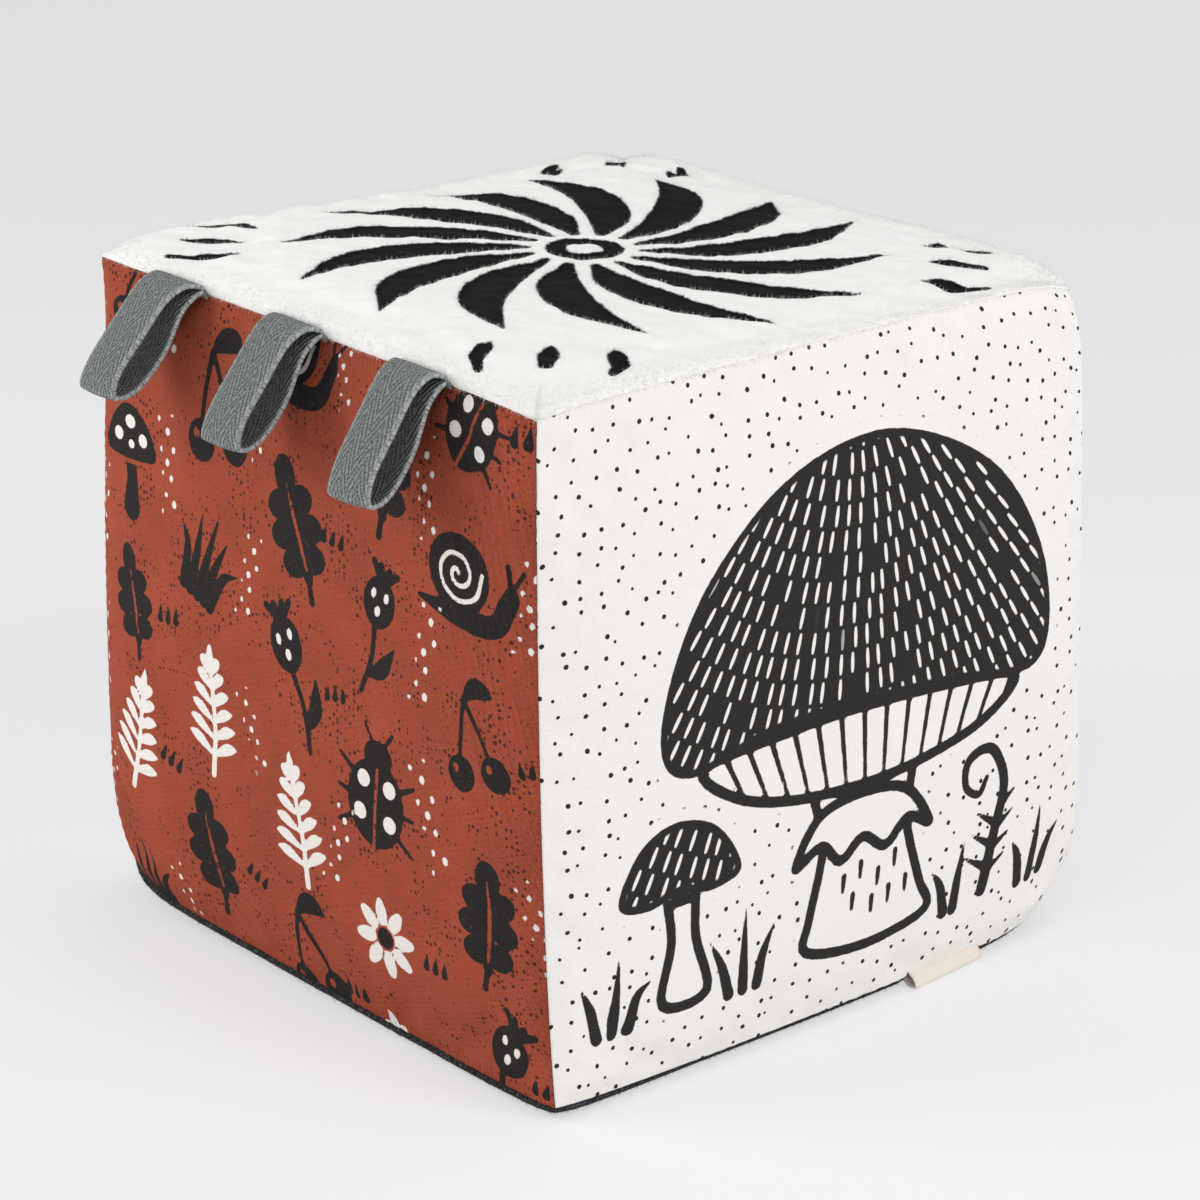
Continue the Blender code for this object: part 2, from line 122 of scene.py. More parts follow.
# %% Sockets that do maths
class Signal:
    """A socket whose Python operators add Math nodes to its finish."""

    def __init__(self, finish, socket):
        self.finish, self.socket = finish, socket

    def math(self, operation, *others):
        values = dict(enumerate((self, *others)))
        return self.finish.node("Math", {"operation": operation}, values)

    def __add__(self, other):
        return self.math("ADD", other)

    __radd__ = __add__

    def __sub__(self, other):
        return self.math("SUBTRACT", other)

    def __rsub__(self, other):
        return self * -1 + other

    def __mul__(self, other):
        return self.math("MULTIPLY", other)

    __rmul__ = __mul__

    def __truediv__(self, other):
        return self.math("DIVIDE", other)

    def __abs__(self):
        return self.math("ABSOLUTE")

    def wave(self, length):
        """A sine wave of that length."""
        return (self * (2 * math.pi / length)).math("SINE")

    def rise(self, low, high):
        """0 below low and 1 above high, with a soft step between; swapped ends fall instead."""
        values = {"Value": self, "From Min": low, "From Max": high}
        return self.finish.node("MapRange", {"interpolation_type": "SMOOTHSTEP"}, values)


class Finish:
    """A material that is built up node by node."""

    def __init__(self, name):
        self.material = bpy.data.materials.new(name)
        self.material.use_nodes = True
        self.tree = self.material.node_tree
        self.surface = self.tree.nodes["Principled BSDF"]

    def node(self, kind, settings=None, values=None, output=0):
        """Add a node, set it, fill its sockets with values or signals and return one output."""
        made = self.tree.nodes.new("ShaderNode" + kind)
        for name, setting in (settings or {}).items():
            setattr(made, name, setting)
        for name, value in (values or {}).items():
            self.fill(made.inputs[name], value)
        return Signal(self, made.outputs[output])

    def fill(self, socket, value):
        if isinstance(value, Signal):
            self.tree.links.new(value.socket, socket)
        else:
            socket.default_value = value

    def part(self, vector, axis=0):
        return self.node("SeparateXYZ", values={0: vector}, output=axis)

    def point(self, x, y):
        return self.node("CombineXYZ", values={0: x, 1: y})

    def cloth_mm(self):
        """Millimetres across and up the flat cloth, from the piece's own UV map."""
        uv = self.node("UVMap", {"uv_map": "cloth"})
        return self.part(uv, 0) * 1000, self.part(uv, 1) * 1000

    def noise(self, place, scale, detail=2.0, roughness=0.5):
        values = {"Vector": place, "Scale": scale, "Detail": detail, "Roughness": roughness}
        return self.node("TexNoise", values=values)

    def scatter(self, place, scale, randomness):
        """Distance to the nearest of many scattered dots, and a number of chance for that dot."""
        flat = {"voronoi_dimensions": "2D"}
        values = {"Vector": place, "Scale": scale, "Randomness": randomness}
        away, chance = (
            self.node("TexVoronoi", flat, values, output=output) for output in ("Distance", "Color")
        )
        return away, self.part(chance)

    def attribute(self, name):
        return self.node("Attribute", {"attribute_name": name}, output="Fac")

    def mix(self, factor, first, second):
        values = {0: factor, 6: first, 7: second}
        return self.node("Mix", {"data_type": "RGBA"}, values, output=2)

    def tint(self, colour, shade):
        """A colour made lighter or darker by a signal."""
        return self.node("VectorMath", {"operation": "SCALE"}, {0: colour, "Scale": shade})

    def bump(self, height, distance, strength=1.0):
        values = {"Height": height, "Distance": distance, "Strength": strength}
        return self.node("Bump", values=values)

    def close(self, **sockets):
        """Fill the surface's sockets, named with _ for a space."""
        for name, value in sockets.items():
            self.fill(self.surface.inputs[name.replace("_", " ")], value)
        return self.material


# %% [markdown]
# ## The shape of the cover
# The foam gives the block flat faces, and the cloth puffs a little between its seams. Its edges
# aren't quite straight: the sides flare to the foot, the top draws in, each corner is pulled in
# by its own seams, and the near seam leans at the foot. One formula gives all six faces.

# %% The sewn shape
HALF_WIDTH = 0.0770
TOP_SEAM = 0.1531
FOOT_SEAM = 0.0022
FLARE = 0.002
BELLY = 0.0004
TOP_DRAW = 0.001

# How far the foot of a side spreads between its corners, by the axis and end that the side faces
BASE_SPREADS = {(0, -1): -0.0008, (0, 1): 0.0002, (1, -1): 0.0016, (1, 1): 0.0002}
SPREAD_POWER = 12

# How far the seams pull in each corner of the block
CORNER_DRAWS = {
    (-1, -1, 1): 0.0012,
    (1, -1, 1): 0.0036,
    (-1, 1, 1): 0.0004,
    (1, 1, 1): 0.0040,
    (-1, -1, -1): 0.0005,
    (1, -1, -1): 0.0055,
    (-1, 1, -1): 0.0045,
    (1, 1, -1): 0.0055,
}
CORNER_POWER = 10

# The two upright edges at the sides of the view, the far foot, the far top edges and the near foot
LEFT_EDGE_DRAW, LEFT_EDGE_BOW = 0.00065, 0.0008
RIGHT_EDGE_DRAW = -0.0012
FAR_FOOT_LIFT = 0.0028
FAR_SAG = 0.0056
SAG_EDGE_POWER = 8
NEAR_FOOT_LEAN = (0.0013, -0.0031, 0.0)
LEAN_POWERS = (1, 2, 3)

HALF_HEIGHT = (TOP_SEAM - FOOT_SEAM) / 2
CENTRE = np.array((0, 0, (TOP_SEAM + FOOT_SEAM) / 2))

Face = namedtuple("Face", "across up out crown")
FACES = {
    "front": Face((1, 0, 0), (0, 0, 1), (0, -1, 0), 0.0028),
    "right": Face((0, 1, 0), (0, 0, 1), (1, 0, 0), 0.0028),
    "back": Face((-1, 0, 0), (0, 0, 1), (0, 1, 0), 0.0028),
    "left": Face((0, -1, 0), (0, 0, 1), (-1, 0, 0), 0.0028),
    "top": Face((1, 0, 0), (0, 1, 0), (0, 0, 1), 0.0006),
    "bottom": Face((1, 0, 0), (0, -1, 0), (0, 0, -1), 0.0),
}


def reach(axis, q):
    """How far the cover stands from the block's centre along one axis, at points of a unit cube."""
    x, y, z = q.T
    first, second = (q[:, other] for other in range(3) if other != axis)
    pull = sum(draw * np.all(q * corner > 0, axis=1) for corner, draw in CORNER_DRAWS.items())
    drawn = pull * np.abs(first * second) ** CORNER_POWER
    if axis == 2:
        lift = FAR_FOOT_LIFT * (1 - x) / 2 * ((1 + y) / 2) ** 2 * (z < 0)
        far = (1 + x) * (1 + y) / 4
        by_edge = np.maximum(np.abs(x), np.abs(y)) ** SAG_EDGE_POWER
        sag = FAR_SAG * far**2 * (1 - far**4) * by_edge
        return HALF_HEIGHT - drawn - lift - sag * (z > 0)
    edge = (LEFT_EDGE_DRAW * (1 + z) / 2 - LEFT_EDGE_BOW * (1 - z**2)) * (x < 0) * (y > 0)
    edge = edge + RIGHT_EDGE_DRAW * (x > 0) * (y < 0)
    drawn = drawn + edge * np.abs(x * y) ** CORNER_POWER
    spread = np.where(q[:, axis] < 0, BASE_SPREADS[axis, -1], BASE_SPREADS[axis, 1])
    bow = spread * ((1 - z) / 2) ** SPREAD_POWER - TOP_DRAW * (1 + z) / 2
    flare = BELLY * (1 - z**2) + FLARE * (1 - z) / 2
    return HALF_WIDTH + bow * (1 - q[:, 1 - axis] ** 2) + flare - drawn


def cover(face, across, up, outset, depth):
    """Points of one face's cover: outset moves outwards within the face, depth into the block."""
    q = np.outer(across, face.across) + np.outer(up, face.up) + face.out
    swell = face.crown * (1 - across**4) * (1 - up**4)
    point = np.zeros_like(q, dtype=float)
    for axis in range(3):
        move = swell - depth if face.out[axis] else outset
        point[:, axis] = q[:, axis] * (reach(axis, q) + move)
    lean = np.prod(((1 - q) / 2) ** LEAN_POWERS, axis=1)
    return point + CENTRE + np.outer(lean, NEAR_FOOT_LEAN)


# %% [markdown]
# ## Blowing up the cloth
# A sewn cover is a little larger than its foam, so it puffs and ripples beside its seams. A
# coarse closed cloth with its seams pinned and a light pressure inside finds those ripples.
# Only how far each point moved outwards is kept, and the fine panels are raised by it.

# %% Read and write points
ON_FACE = 1 - 1e-4


def select_nothing():
    if bpy.context.object and bpy.context.object.mode != "OBJECT":
        bpy.ops.object.mode_set(mode="OBJECT")
    bpy.ops.object.select_all(action="DESELECT")


def read_points(mesh):
    points = np.zeros(len(mesh.vertices) * 3)
    mesh.vertices.foreach_get("co", points)
    return points.reshape(-1, 3)


def write_points(mesh, points):
    mesh.vertices.foreach_set("co", np.asarray(points, dtype=np.float32).ravel())
    mesh.update()


# %% Inflate a coarse cover
COARSE_CELLS = 36
CLOTH_FRAMES = 18
CLOTH_SETTINGS = {
    "quality": 6,
    "mass": 0.15,
    "tension_stiffness": 12,
    "compression_stiffness": 12,
    "shear_stiffness": 4,
    "bending_stiffness": 0.4,
    "use_pressure": True,
    "uniform_pressure_force": 0.9,
    "shrink_min": -0.012,
    "vertex_group_mass": "seam",
}
PUFF_LIMIT, DIP_LIMIT = 0.0012, 0.0001


def inflate(cloth, pinned):
    """Blow up a closed cloth that is held at its pinned points."""
    seam = cloth.vertex_groups.new(name="seam")
    seam.add([int(index) for index in np.flatnonzero(pinned)], 1.0, "REPLACE")
    sewn = cloth.modifiers.new("cloth", "CLOTH")
    for name, value in CLOTH_SETTINGS.items():
        setattr(sewn.settings, name, value)
    sewn.settings.effector_weights.gravity = 0
    sewn.collision_settings.use_collision = False
    sewn.point_cache.frame_start = 1
    sewn.point_cache.frame_end = CLOTH_FRAMES
    for number in range(1, CLOTH_FRAMES + 1):
        bpy.context.scene.frame_set(number)
    bpy.ops.object.modifier_apply(modifier="cloth")
    bpy.context.scene.frame_set(1)


def puffed_grids():
    """For each face, a grid of how far the inflated cloth stands past the plain cover."""
    grids = {side: np.zeros((COARSE_CELLS + 1, COARSE_CELLS + 1)) for side in FACES}
    select_nothing()
    bpy.ops.mesh.primitive_cube_add(size=2)
    cloth = bpy.context.object
    bpy.ops.object.mode_set(mode="EDIT")
    bpy.ops.mesh.select_all(action="SELECT")
    bpy.ops.mesh.subdivide(number_cuts=COARSE_CELLS - 1)
    bpy.ops.object.mode_set(mode="OBJECT")
    q = read_points(cloth.data)
    plain = np.zeros_like(q)
    for face in FACES.values():
        here = q @ np.array(face.out) > ON_FACE
        plain[here] = cover(face, q[here] @ face.across, q[here] @ face.up, 0.0, 0.0)
    write_points(cloth.data, plain)
    inflate(cloth, (np.abs(q) > ON_FACE).sum(axis=1) > 1)
    moved = read_points(cloth.data) - plain
    for side, face in FACES.items():
        here = q @ np.array(face.out) > ON_FACE
        column, row = (
            np.rint((q[here] @ way + 1) / 2 * COARSE_CELLS).astype(int) for way in (face.across, face.up)
        )
        outwards = np.maximum(moved[here] @ face.out, -DIP_LIMIT)
        grids[side][row, column] = PUFF_LIMIT * np.tanh(outwards / PUFF_LIMIT)
    bpy.data.objects.remove(cloth)
    return grids


PUFFS = puffed_grids()
for side, grid in PUFFS.items():
    low, high = (round(end * 1000, 2) for end in (grid.min(), grid.max()))
    print("puff of", side, "from", low, "to", high, "mm")

# %% [markdown]
# ## Smooth chance
# Hand-made cloth is never regular, but a script has to give the same block each time. Sums of
# a few sine waves with seeded lengths and directions make soft, repeatable unevenness.


# %% Waves and curves
def wander(x, y, length, seed, waves=7):
    """Smooth unevenness between about -1 and 1, of that wavelength."""
    chance = np.random.default_rng(seed)
    total = 0.0
    for _ in range(waves):
        way = chance.uniform(0, 2 * math.pi)
        turns = 2 * math.pi / (length * chance.uniform(0.7, 1.5))
        total = total + np.sin((x * math.cos(way) + y * math.sin(way)) * turns + chance.uniform(0, 9))
    return total / waves**0.5 / 1.2


def spline_shares(t):
    """What four points in a row weigh on a smooth curve, at a share t between the middle two."""
    return (
        (-t + 2 * t**2 - t**3) / 2,
        (2 - 5 * t**2 + 3 * t**3) / 2,
        (t + 4 * t**2 - 3 * t**3) / 2,
        (t**3 - t**2) / 2,
    )


def smooth_curve(points, steps):
    """A smooth curve through points, with that many steps between each two."""
    points = np.array(points, dtype=float)
    ends = np.vstack((2 * points[0] - points[1], points, 2 * points[-1] - points[-2]))
    shares = spline_shares(np.arange(steps)[:, None] / steps)
    runs = [
        sum(share * point for share, point in zip(shares, four))
        for four in zip(ends, ends[1:], ends[2:], ends[3:])
    ]
    return np.vstack((*runs, points[-1:]))


def upsampled(grid, rows, columns):
    """A coarse grid read smoothly at places given in its own cells."""
    last = len(grid) - 1

    def weights(places):
        base = np.clip(np.floor(places).astype(int), 0, last - 1)
        shares = spline_shares(places - base)
        return [(np.clip(base + step - 1, 0, last), share) for step, share in enumerate(shares)]

    total = 0.0
    for row, row_share in weights(rows):
        for column, column_share in weights(columns):
            total = total + grid[row, column] * row_share * column_share
    return total


# %% [markdown]
# ## Drawing on cloth
# The prints are drawn as distances in millimetres: negative inside a shape, positive outside.
# Each vertex of a panel carries the distance, and the shader turns its zero line into the edge
# of the ink, so an edge stays sharp between vertices.


# %% Brush strokes and simple shapes
BLOB_STEPS = 5


def to_segment(x, y, start, end):
    """Distance to a straight line, and how far along it the nearest point is."""
    dx, dy = end[0] - start[0], end[1] - start[1]
    share = np.clip(((x - start[0]) * dx + (y - start[1]) * dy) / (dx * dx + dy * dy), 0, 1)
    return np.hypot(x - start[0] - share * dx, y - start[1] - share * dy), share


def stroke(x, y, points, halves, steps=6):
    """Distance to a brush stroke through points, with a half width at each."""
    path = smooth_curve([(*point, half) for point, half in zip(points, halves)], steps)
    best = nothing(x)
    for start, end in zip(path, path[1:]):
        away, share = to_segment(x, y, start, end)
        best = np.minimum(best, away - start[2] - share * (end[2] - start[2]))
    return best


def blob(x, y, points):
    """Distance to a closed smooth shape through points."""
    wrapped = smooth_curve([*points[-2:], *points, *points[:2]], BLOB_STEPS)
    around = wrapped[2 * BLOB_STEPS : -BLOB_STEPS]
    best, inside = nothing(x), np.zeros(np.shape(x), dtype=bool)
    for start, end in zip(around, around[1:]):
        best = np.minimum(best, to_segment(x, y, start, end)[0])
        if start[1] != end[1]:
            cross = (end[0] - start[0]) * (y - start[1]) / (end[1] - start[1]) + start[0]
            inside ^= ((start[1] > y) != (end[1] > y)) & (x < cross)
    return np.where(inside, -best, best)


def oval(x, y, centre_x, centre_y, half_wide, half_high):
    share = np.hypot((x - centre_x) / half_wide, (y - centre_y) / half_high)
    return (share - 1) * min(half_wide, half_high)


def either(*shapes):
    """Shapes put together."""
    return np.minimum.reduce(shapes)


def both(*shapes):
    """Only what the shapes share; with a minus sign before it, a shape is cut away."""
    return np.maximum.reduce(shapes)


def outline(shape, half):
    return np.abs(shape) - half


def nothing(x):
    """A shape far from everything."""
    return np.full(np.shape(x), 1e3)


# %% [markdown]
# The small print scatters simple garden and woodland things, each drawn about its own middle as
# a pair of distances: one for black ink and one for cream. What is alike on both sides of a
# motif is drawn once, at abs(x).


# %% Small leaves and fruit
def lobed_leaf(x, y):
    lobes = [
        oval(abs(x), y, out, high, 3.3, 2.6) for high, out in ((-6, 2.6), (-1, 3.8), (4, 2.9))
    ]
    tip = oval(x, y, 0, 8.5, 2.8, 3.6)
    middle = stroke(x, y, [(0, -9), (0, 8)], [1.2, 2.2], 2)
    rib = stroke(x, y, [(0, -9), (0.3, 0), (0, 8)], [0.3, 0.45, 0.15])
    stalk = stroke(x, y, [(0, -8.5), (-0.8, -13)], [0.6, 0.75], 2)
    return either(both(either(middle, tip, *lobes), -rib), stalk), nothing(x)


def plain_leaf(x, y):
    blade = stroke(x, y, [(0, -9), (0.6, 0), (0, 11)], [0.3, 5.8, 0.2])
    rib = stroke(x, y, [(0, -8), (0.4, 0), (0, 8)], [0.5, 0.45, 0.25])
    veins = [
        stroke(
            x, y, [(0.3, low), (side * 2.4, low + 2.0), (side * 4.2, low + 4.6)],
            [0.4, 0.35, 0.2], 3,
        )
        for low in (-4.8, -1.0, 2.8)
        for side in (-1, 1)
    ]
    stalk = stroke(x, y, [(0, -9), (-0.6, -13)], [0.6, 0.7])
    return either(both(blade, -either(rib, *veins)), stalk), nothing(x)


def toadstool(x, y):
    cap = blob(x, y, [
        (-9, 0), (-7.5, 5.5), (-3, 9.6), (2, 10), (7, 6.4), (9.4, 0.4), (5, -1), (-4, -1),
    ])
    stem = stroke(x, y, [(0, -0.5), (0.6, -5), (0.2, -11)], [2.2, 1.9, 2.9])
    spots = either(
        oval(x, y, -4.2, 3.4, 1.7, 1.4), oval(x, y, 0.4, 6.6, 1.9, 1.4),
        oval(x, y, 4.8, 3.4, 1.5, 1.4), oval(x, y, 0.6, 2, 1.1, 0.9),
    )
    return either(both(cap, -spots), both(stem, y + 2.1)), spots


def berries(x, y):
    stems = stroke(abs(x), y, [(0, 10), (2.4, 3.4), (4.2, -2.5)], [0.6, 0.55, 0.5])
    fruit = oval(abs(x), y, 4.6, -5.2, 3.6, 3.8)
    shine = [oval(x, y, side * 4.6 - 1.2, -4, 0.8, 1.0) for side in (-1, 1)]
    sprout = stroke(x, y, [(0, 10), (4, 12), (8, 10)], [0.4, 2.2, 0.2])
    return both(either(stems, fruit, sprout), -either(*shine)), nothing(x)


def fern(x, y):
    stem = stroke(x, y, [(0, -13), (0.8, -3), (0, 10)], [0.75, 0.6, 0.5])
    leaflets = [
        stroke(
            x, y, [(0.3, low), (side * long * 0.6, low + 2.4), (side * long, low + 3.2)],
            [0.3, 1.2, 0.3], 4,
        )
        for low, long in ((-9, 7.2), (-5.6, 6.8), (-2.2, 6), (1.2, 5), (4.6, 3.8), (7.6, 2.6))
        for side in (-1, 1)
    ]
    tip = stroke(x, y, [(0, 9), (0, 11.5), (0, 14)], [0.4, 1.0, 0.2], 4)
    return nothing(x), either(stem, tip, *leaflets)


def daisy(x, y):
    petals = []
    for turn in np.linspace(0, 2 * math.pi, 9)[:-1]:
        points = [(radius * math.cos(turn), radius * math.sin(turn)) for radius in (1.8, 4.6, 6.6)]
        petals.append(stroke(x, y, points, [0.5, 1.45, 0.9], 3))
    heart = oval(x, y, 0, 0, 2.0, 2.0)
    return heart, both(either(*petals), 0.4 - heart)


def grass(x, y):
    blades = [
        stroke(x, y, [(base, -8), (base + lean * 0.3, 0), (base + lean, high)], [1.3, 1.1, 0.15], 4)
        for base, lean, high in (
            (-4.4, -4.6, 4), (-2.2, -1.6, 9), (0.2, 0.8, 12), (2.4, 2.6, 8), (4.4, 5.4, 3),
        )
    ]
    return either(*blades), nothing(x)


def seed_head(x, y):
    pod = oval(x, y, 0, 5.5, 4.4, 5.2)
    crown = [stroke(abs(x), y, [(0, 9.5), (lean, 12.8)], [0.9, 0.75], 2) for lean in (1.2, 3.4)]
    stem = stroke(x, y, [(0, 1), (0.9, -6), (-0.4, -14)], [0.75, 0.65, 0.65])
    blade = stroke(x, y, [(0.6, -10), (4.2, -6.6), (6.4, -1)], [0.4, 1.8, 0.2])
    dots = either(
        oval(x, y, -1.9, 6.6, 0.7, 1.1), oval(x, y, 1.6, 7.2, 0.7, 1.1), oval(x, y, 0, 3.6, 0.8, 1.1)
    )
    return both(either(pod, stem, blade, *crown), -dots), dots


# %% Small creatures and crumbs
def beetle(x, y):
    shell = oval(x, y, 0, -1.5, 6.8, 7.8)
    head = oval(x, y, 0, 6.8, 3.4, 2.8)
    split = stroke(x, y, [(0, 4.6), (0, -9.5)], [0.35, 0.35], 2)
    spots = either(*(oval(abs(x), y, out, high, 1.5, 1.5) for out, high in ((3.1, 2), (3.6, -4))))
    legs = [
        stroke(abs(x), y, [(5.4, high), (9, high + lean)], [0.55, 0.4], 2)
        for high, lean in ((2.5, 2.0), (-1.5, 0.2), (-5.5, -2.2))
    ]
    feelers = stroke(abs(x), y, [(1, 8.5), (3.4, 11.8)], [0.4, 0.4], 2)
    return either(both(either(shell, head), -either(split, spots)), *legs, feelers), spots


def snail(x, y):
    body = stroke(x, y, [(-11, -7), (-1, -7), (7.5, -6), (10.4, 0.5)], [0.5, 2.0, 2.0, 1.7])
    feelers = [stroke(x, y, [(10.2, 1), (10.6 + lean, 5.6)], [0.5, 0.45], 2) for lean in (-1.6, 1.8)]
    shell = oval(x, y, -1.6, 0.4, 7.4, 7.0)
    curl = [
        (-1.6 + 0.46 * turn * math.cos(turn), 0.4 + 0.43 * turn * math.sin(turn))
        for turn in np.linspace(0.6, 4.1 * math.pi, 15)
    ]
    groove = stroke(x, y, curl, [0.42] * len(curl), 3)
    return either(both(either(shell, body), -groove), *feelers), both(groove, shell + 0.8)


def seeds(x, y):
    drops = [
        stroke(x, y, [(3.2 * n, -1.6), (3.2 * n + 0.8, 2.2)], [1.15, 0.2], 3) for n in (-1, 0, 1)
    ]
    return either(*drops), nothing(x)


def crumbs(x, y):
    dots = [
        oval(x, y, out, high, size, size * 1.2)
        for out, high, size in (
            (0, 0, 0.8), (2.4, 3.2, 0.7), (-2.2, 2.6, 0.6), (1.4, -3.4, 0.7), (-1.8, -2.6, 0.5),
            (0.4, 7, 0.8), (-2.6, 9.4, 0.6), (2.2, 11, 0.5), (-0.6, -7.4, 0.6), (2.4, -9, 0.8),
            (-2.0, -11.4, 0.5),
        )
    ]
    return nothing(x), either(*dots)


# %% [markdown]
# The motifs are stamped in columns, every second one half a step lower, and each one is turned
# and sized a little by chance. A small one goes between each two columns.

# %% Scatter the motifs
LARGE_MOTIFS = (
    lobed_leaf, toadstool, fern, beetle, plain_leaf, seed_head, daisy, snail, berries, grass,
)
SMALL_MOTIFS = (seeds, crumbs)
MOTIF_REACH_MM = 18
COLUMN_MM, ROW_MM = 30.0, 36.0


def stamp(inks, motif, x, y, middle, turn, size):
    """Add one motif to the black and cream distances, turned and sized about its middle."""
    near = np.hypot(x - middle[0], y - middle[1]) < MOTIF_REACH_MM * size
    if not near.any():
        return
    dx, dy = x[near] - middle[0], y[near] - middle[1]
    local_x = (dx * math.cos(turn) + dy * math.sin(turn)) / size
    local_y = (dy * math.cos(turn) - dx * math.sin(turn)) / size
    for ink, drawn in zip(inks, motif(local_x, local_y)):
        ink[near] = np.minimum(ink[near], drawn * size)


def scattered(x, y, seed):
    """Black and cream distances of large motifs in staggered rows, with small ones between."""
    chance = np.random.default_rng(seed)
    inks = nothing(x), nothing(x)
    for column in range(-3, 4):
        order = chance.permutation(len(LARGE_MOTIFS))
        for row in range(-3, 4):
            middle = np.array((column * COLUMN_MM, (row + (column % 2) / 2) * ROW_MM))
            turn, size = chance.uniform(-0.5, 0.5), chance.uniform(1.08, 1.34)
            jitter = chance.uniform(-2.5, 2.5, 2)
            large = LARGE_MOTIFS[order[row % len(order)]]
            stamp(inks, large, x, y, middle + jitter, turn, size)
            between = middle + (COLUMN_MM / 2, chance.uniform(-1, 1))
            small = SMALL_MOTIFS[chance.integers(len(SMALL_MOTIFS))]
            stamp(inks, small, x, y, between, chance.uniform(-0.4, 0.4), chance.uniform(0.8, 1.1))
    return dict(zip(("ink", "cream"), inks))


# %% [markdown]
# The dotted panel has one big figure: a tall toadstool with a dark, dashed cap beside a small
# one, in grass. The panel behind has a branch of dashed leaves. Three distances are kept: the
# ink, the cap or leaves that take the dashes, and the whole figure, inside which the dots stop.

# %% Big figures
DASH_HUB_MM = (8.0, 80.0)
LINE_MM = 1.25
FIGURE_MARGIN_MM = 2.4


def big_toadstool(x, y):
    cap = blob(x, y, [
        (-48, -3), (-45, 14), (-34, 33), (-14, 49), (8, 55), (29, 51), (49, 38), (61, 18), (64, -2),
        (57, -11), (34, -8), (8, -6), (-18, -6), (-40, -10),
    ])
    gills = blob(x, y, [
        (-37, -9), (-14, -7), (8, -6.5), (32, -8), (53, -11), (44, -19), (27, -23), (8, -24.5),
        (-12, -23), (-28, -18),
    ])
    stem = blob(x, y, [
        (-5, -20), (-4, -36), (-8, -52), (-9, -60), (8, -63), (26, -60), (24, -52), (20, -36),
        (20, -20),
    ])
    stem = both(stem, y + 22)
    skirt = blob(x, y, [
        (-5, -29), (8, -26.5), (20, -29), (27, -39), (20.5, -36), (14, -41), (7.5, -37), (1, -41),
        (-4.5, -36), (-12, -39),
    ])
    ribs = [
        stroke(x, y, [(8 + 6.6 * n, -7), (8 + 5.3 * n, -23)], [0.75, 0.5], 2) for n in range(-6, 8)
    ]
    flecks = [
        stroke(x, y, [(8 + out, top), (7.6 + out, top - 3.6)], [0.75, 0.5], 2)
        for out, top in (
            (-6, -45), (-1, -43), (4, -46), (9, -43), (-3.5, -50), (2, -52), (7, -51), (12, -50),
        )
    ]
    small_cap = blob(x, y, [
        (-60, -34), (-54, -23), (-44, -19), (-33, -23), (-27, -34), (-35, -37), (-44, -35.5),
        (-53, -37),
    ])
    small_stem = blob(x, y, [
        (-47, -33), (-46.5, -46), (-49, -60), (-37, -60), (-40, -46), (-40, -33),
    ])
    small_stem = both(small_stem, y + 37)
    frond = stroke(
        x, y,
        [(44, -61), (47, -48), (50, -36), (46, -27), (39, -28), (38, -34), (42, -37), (44.5, -33.5)],
        [1.7, 1.5, 1.4, 1.3, 1.2, 1.0, 0.9, 0.7],
    )
    fronds = [
        stroke(x, y, [(root_x, root_y), (root_x + out, root_y + 3.4)], [1.1, 0.3], 3)
        for root_x, root_y, out in (
            (44.5, -57, 6), (45.5, -52, 6), (47, -47, 5.6), (48.4, -42, 5), (43.6, -55, -5.6),
            (45.5, -50, -5.4), (46.6, -45, -5),
        )
    ]
    blades = [
        stroke(x, y, [(base, -63), (base + lean * 0.35, -56), (base + lean, high)], [1.5, 1.2, 0.2], 5)
        for base, lean, high in (
            (-66, -4, -50), (-62, 2, -46), (-58, 6, -53), (-31, -5, -49), (-27, 1, -44), (-23, 5, -50),
            (32, -4, -52), (35, 3, -47), (56, -3, -52), (60, 2, -46), (64, 5, -53),
        )
    ]
    drawn = both(outline(stem, LINE_MM), -skirt)
    drawn = either(drawn, outline(skirt, LINE_MM), both(either(*flecks), stem))
    drawn = either(both(drawn, -gills), outline(gills, LINE_MM), both(either(*ribs), gills))
    drawn = either(drawn, both(outline(small_stem, LINE_MM), -small_cap), cap, small_cap)
    figure = either(cap, gills, stem, skirt, small_cap, small_stem) - FIGURE_MARGIN_MM
    ink = either(drawn, frond, *fronds, *blades)
    return {"ink": ink, "cap": either(cap, small_cap), "figure": figure}


def big_leaves(x, y):
    stem = stroke(x, y, [(-6, -58), (2, -20), (-2, 14), (4, 46)], [1.8, 1.5, 1.3, 0.8])
    blades = [
        stroke(x, y, [(0, low), (side * 17, low + 13), (side * 36, low + 17)], [1.0, wide, 0.3])
        for side, low, wide in (
            (-1, -34, 9.5), (1, -24, 10), (-1, -6, 9), (1, 4, 9), (-1, 20, 7.5), (1, 28, 7),
        )
    ]
    leaves = either(stroke(x, y, [(4, 44), (6, 54), (5, 64)], [0.8, 5, 0.3]), *blades)
    ink = either(stem, leaves)
    return {"ink": ink, "cap": leaves, "figure": ink - 2}


# %% [markdown]
# The plush has a sunburst of bold tapered strokes, an old quilter's pattern, with a fan of
# three drops in each corner.


# %% Sunburst
RAYS = 14
RAY_PATH = ((13, 0.0), (31, 0.10), (50, 0.27), (67, 0.47))
DROP_PATH = ((76, 0.0), (82, 0.0), (89, 0.0))


def ray(x, y, turn, path, halves):
    """A stroke from the middle outwards, through (radius, bend) pairs."""
    points = [(out * math.cos(turn + bend), out * math.sin(turn + bend)) for out, bend in path]
    return stroke(x, y, points, halves)


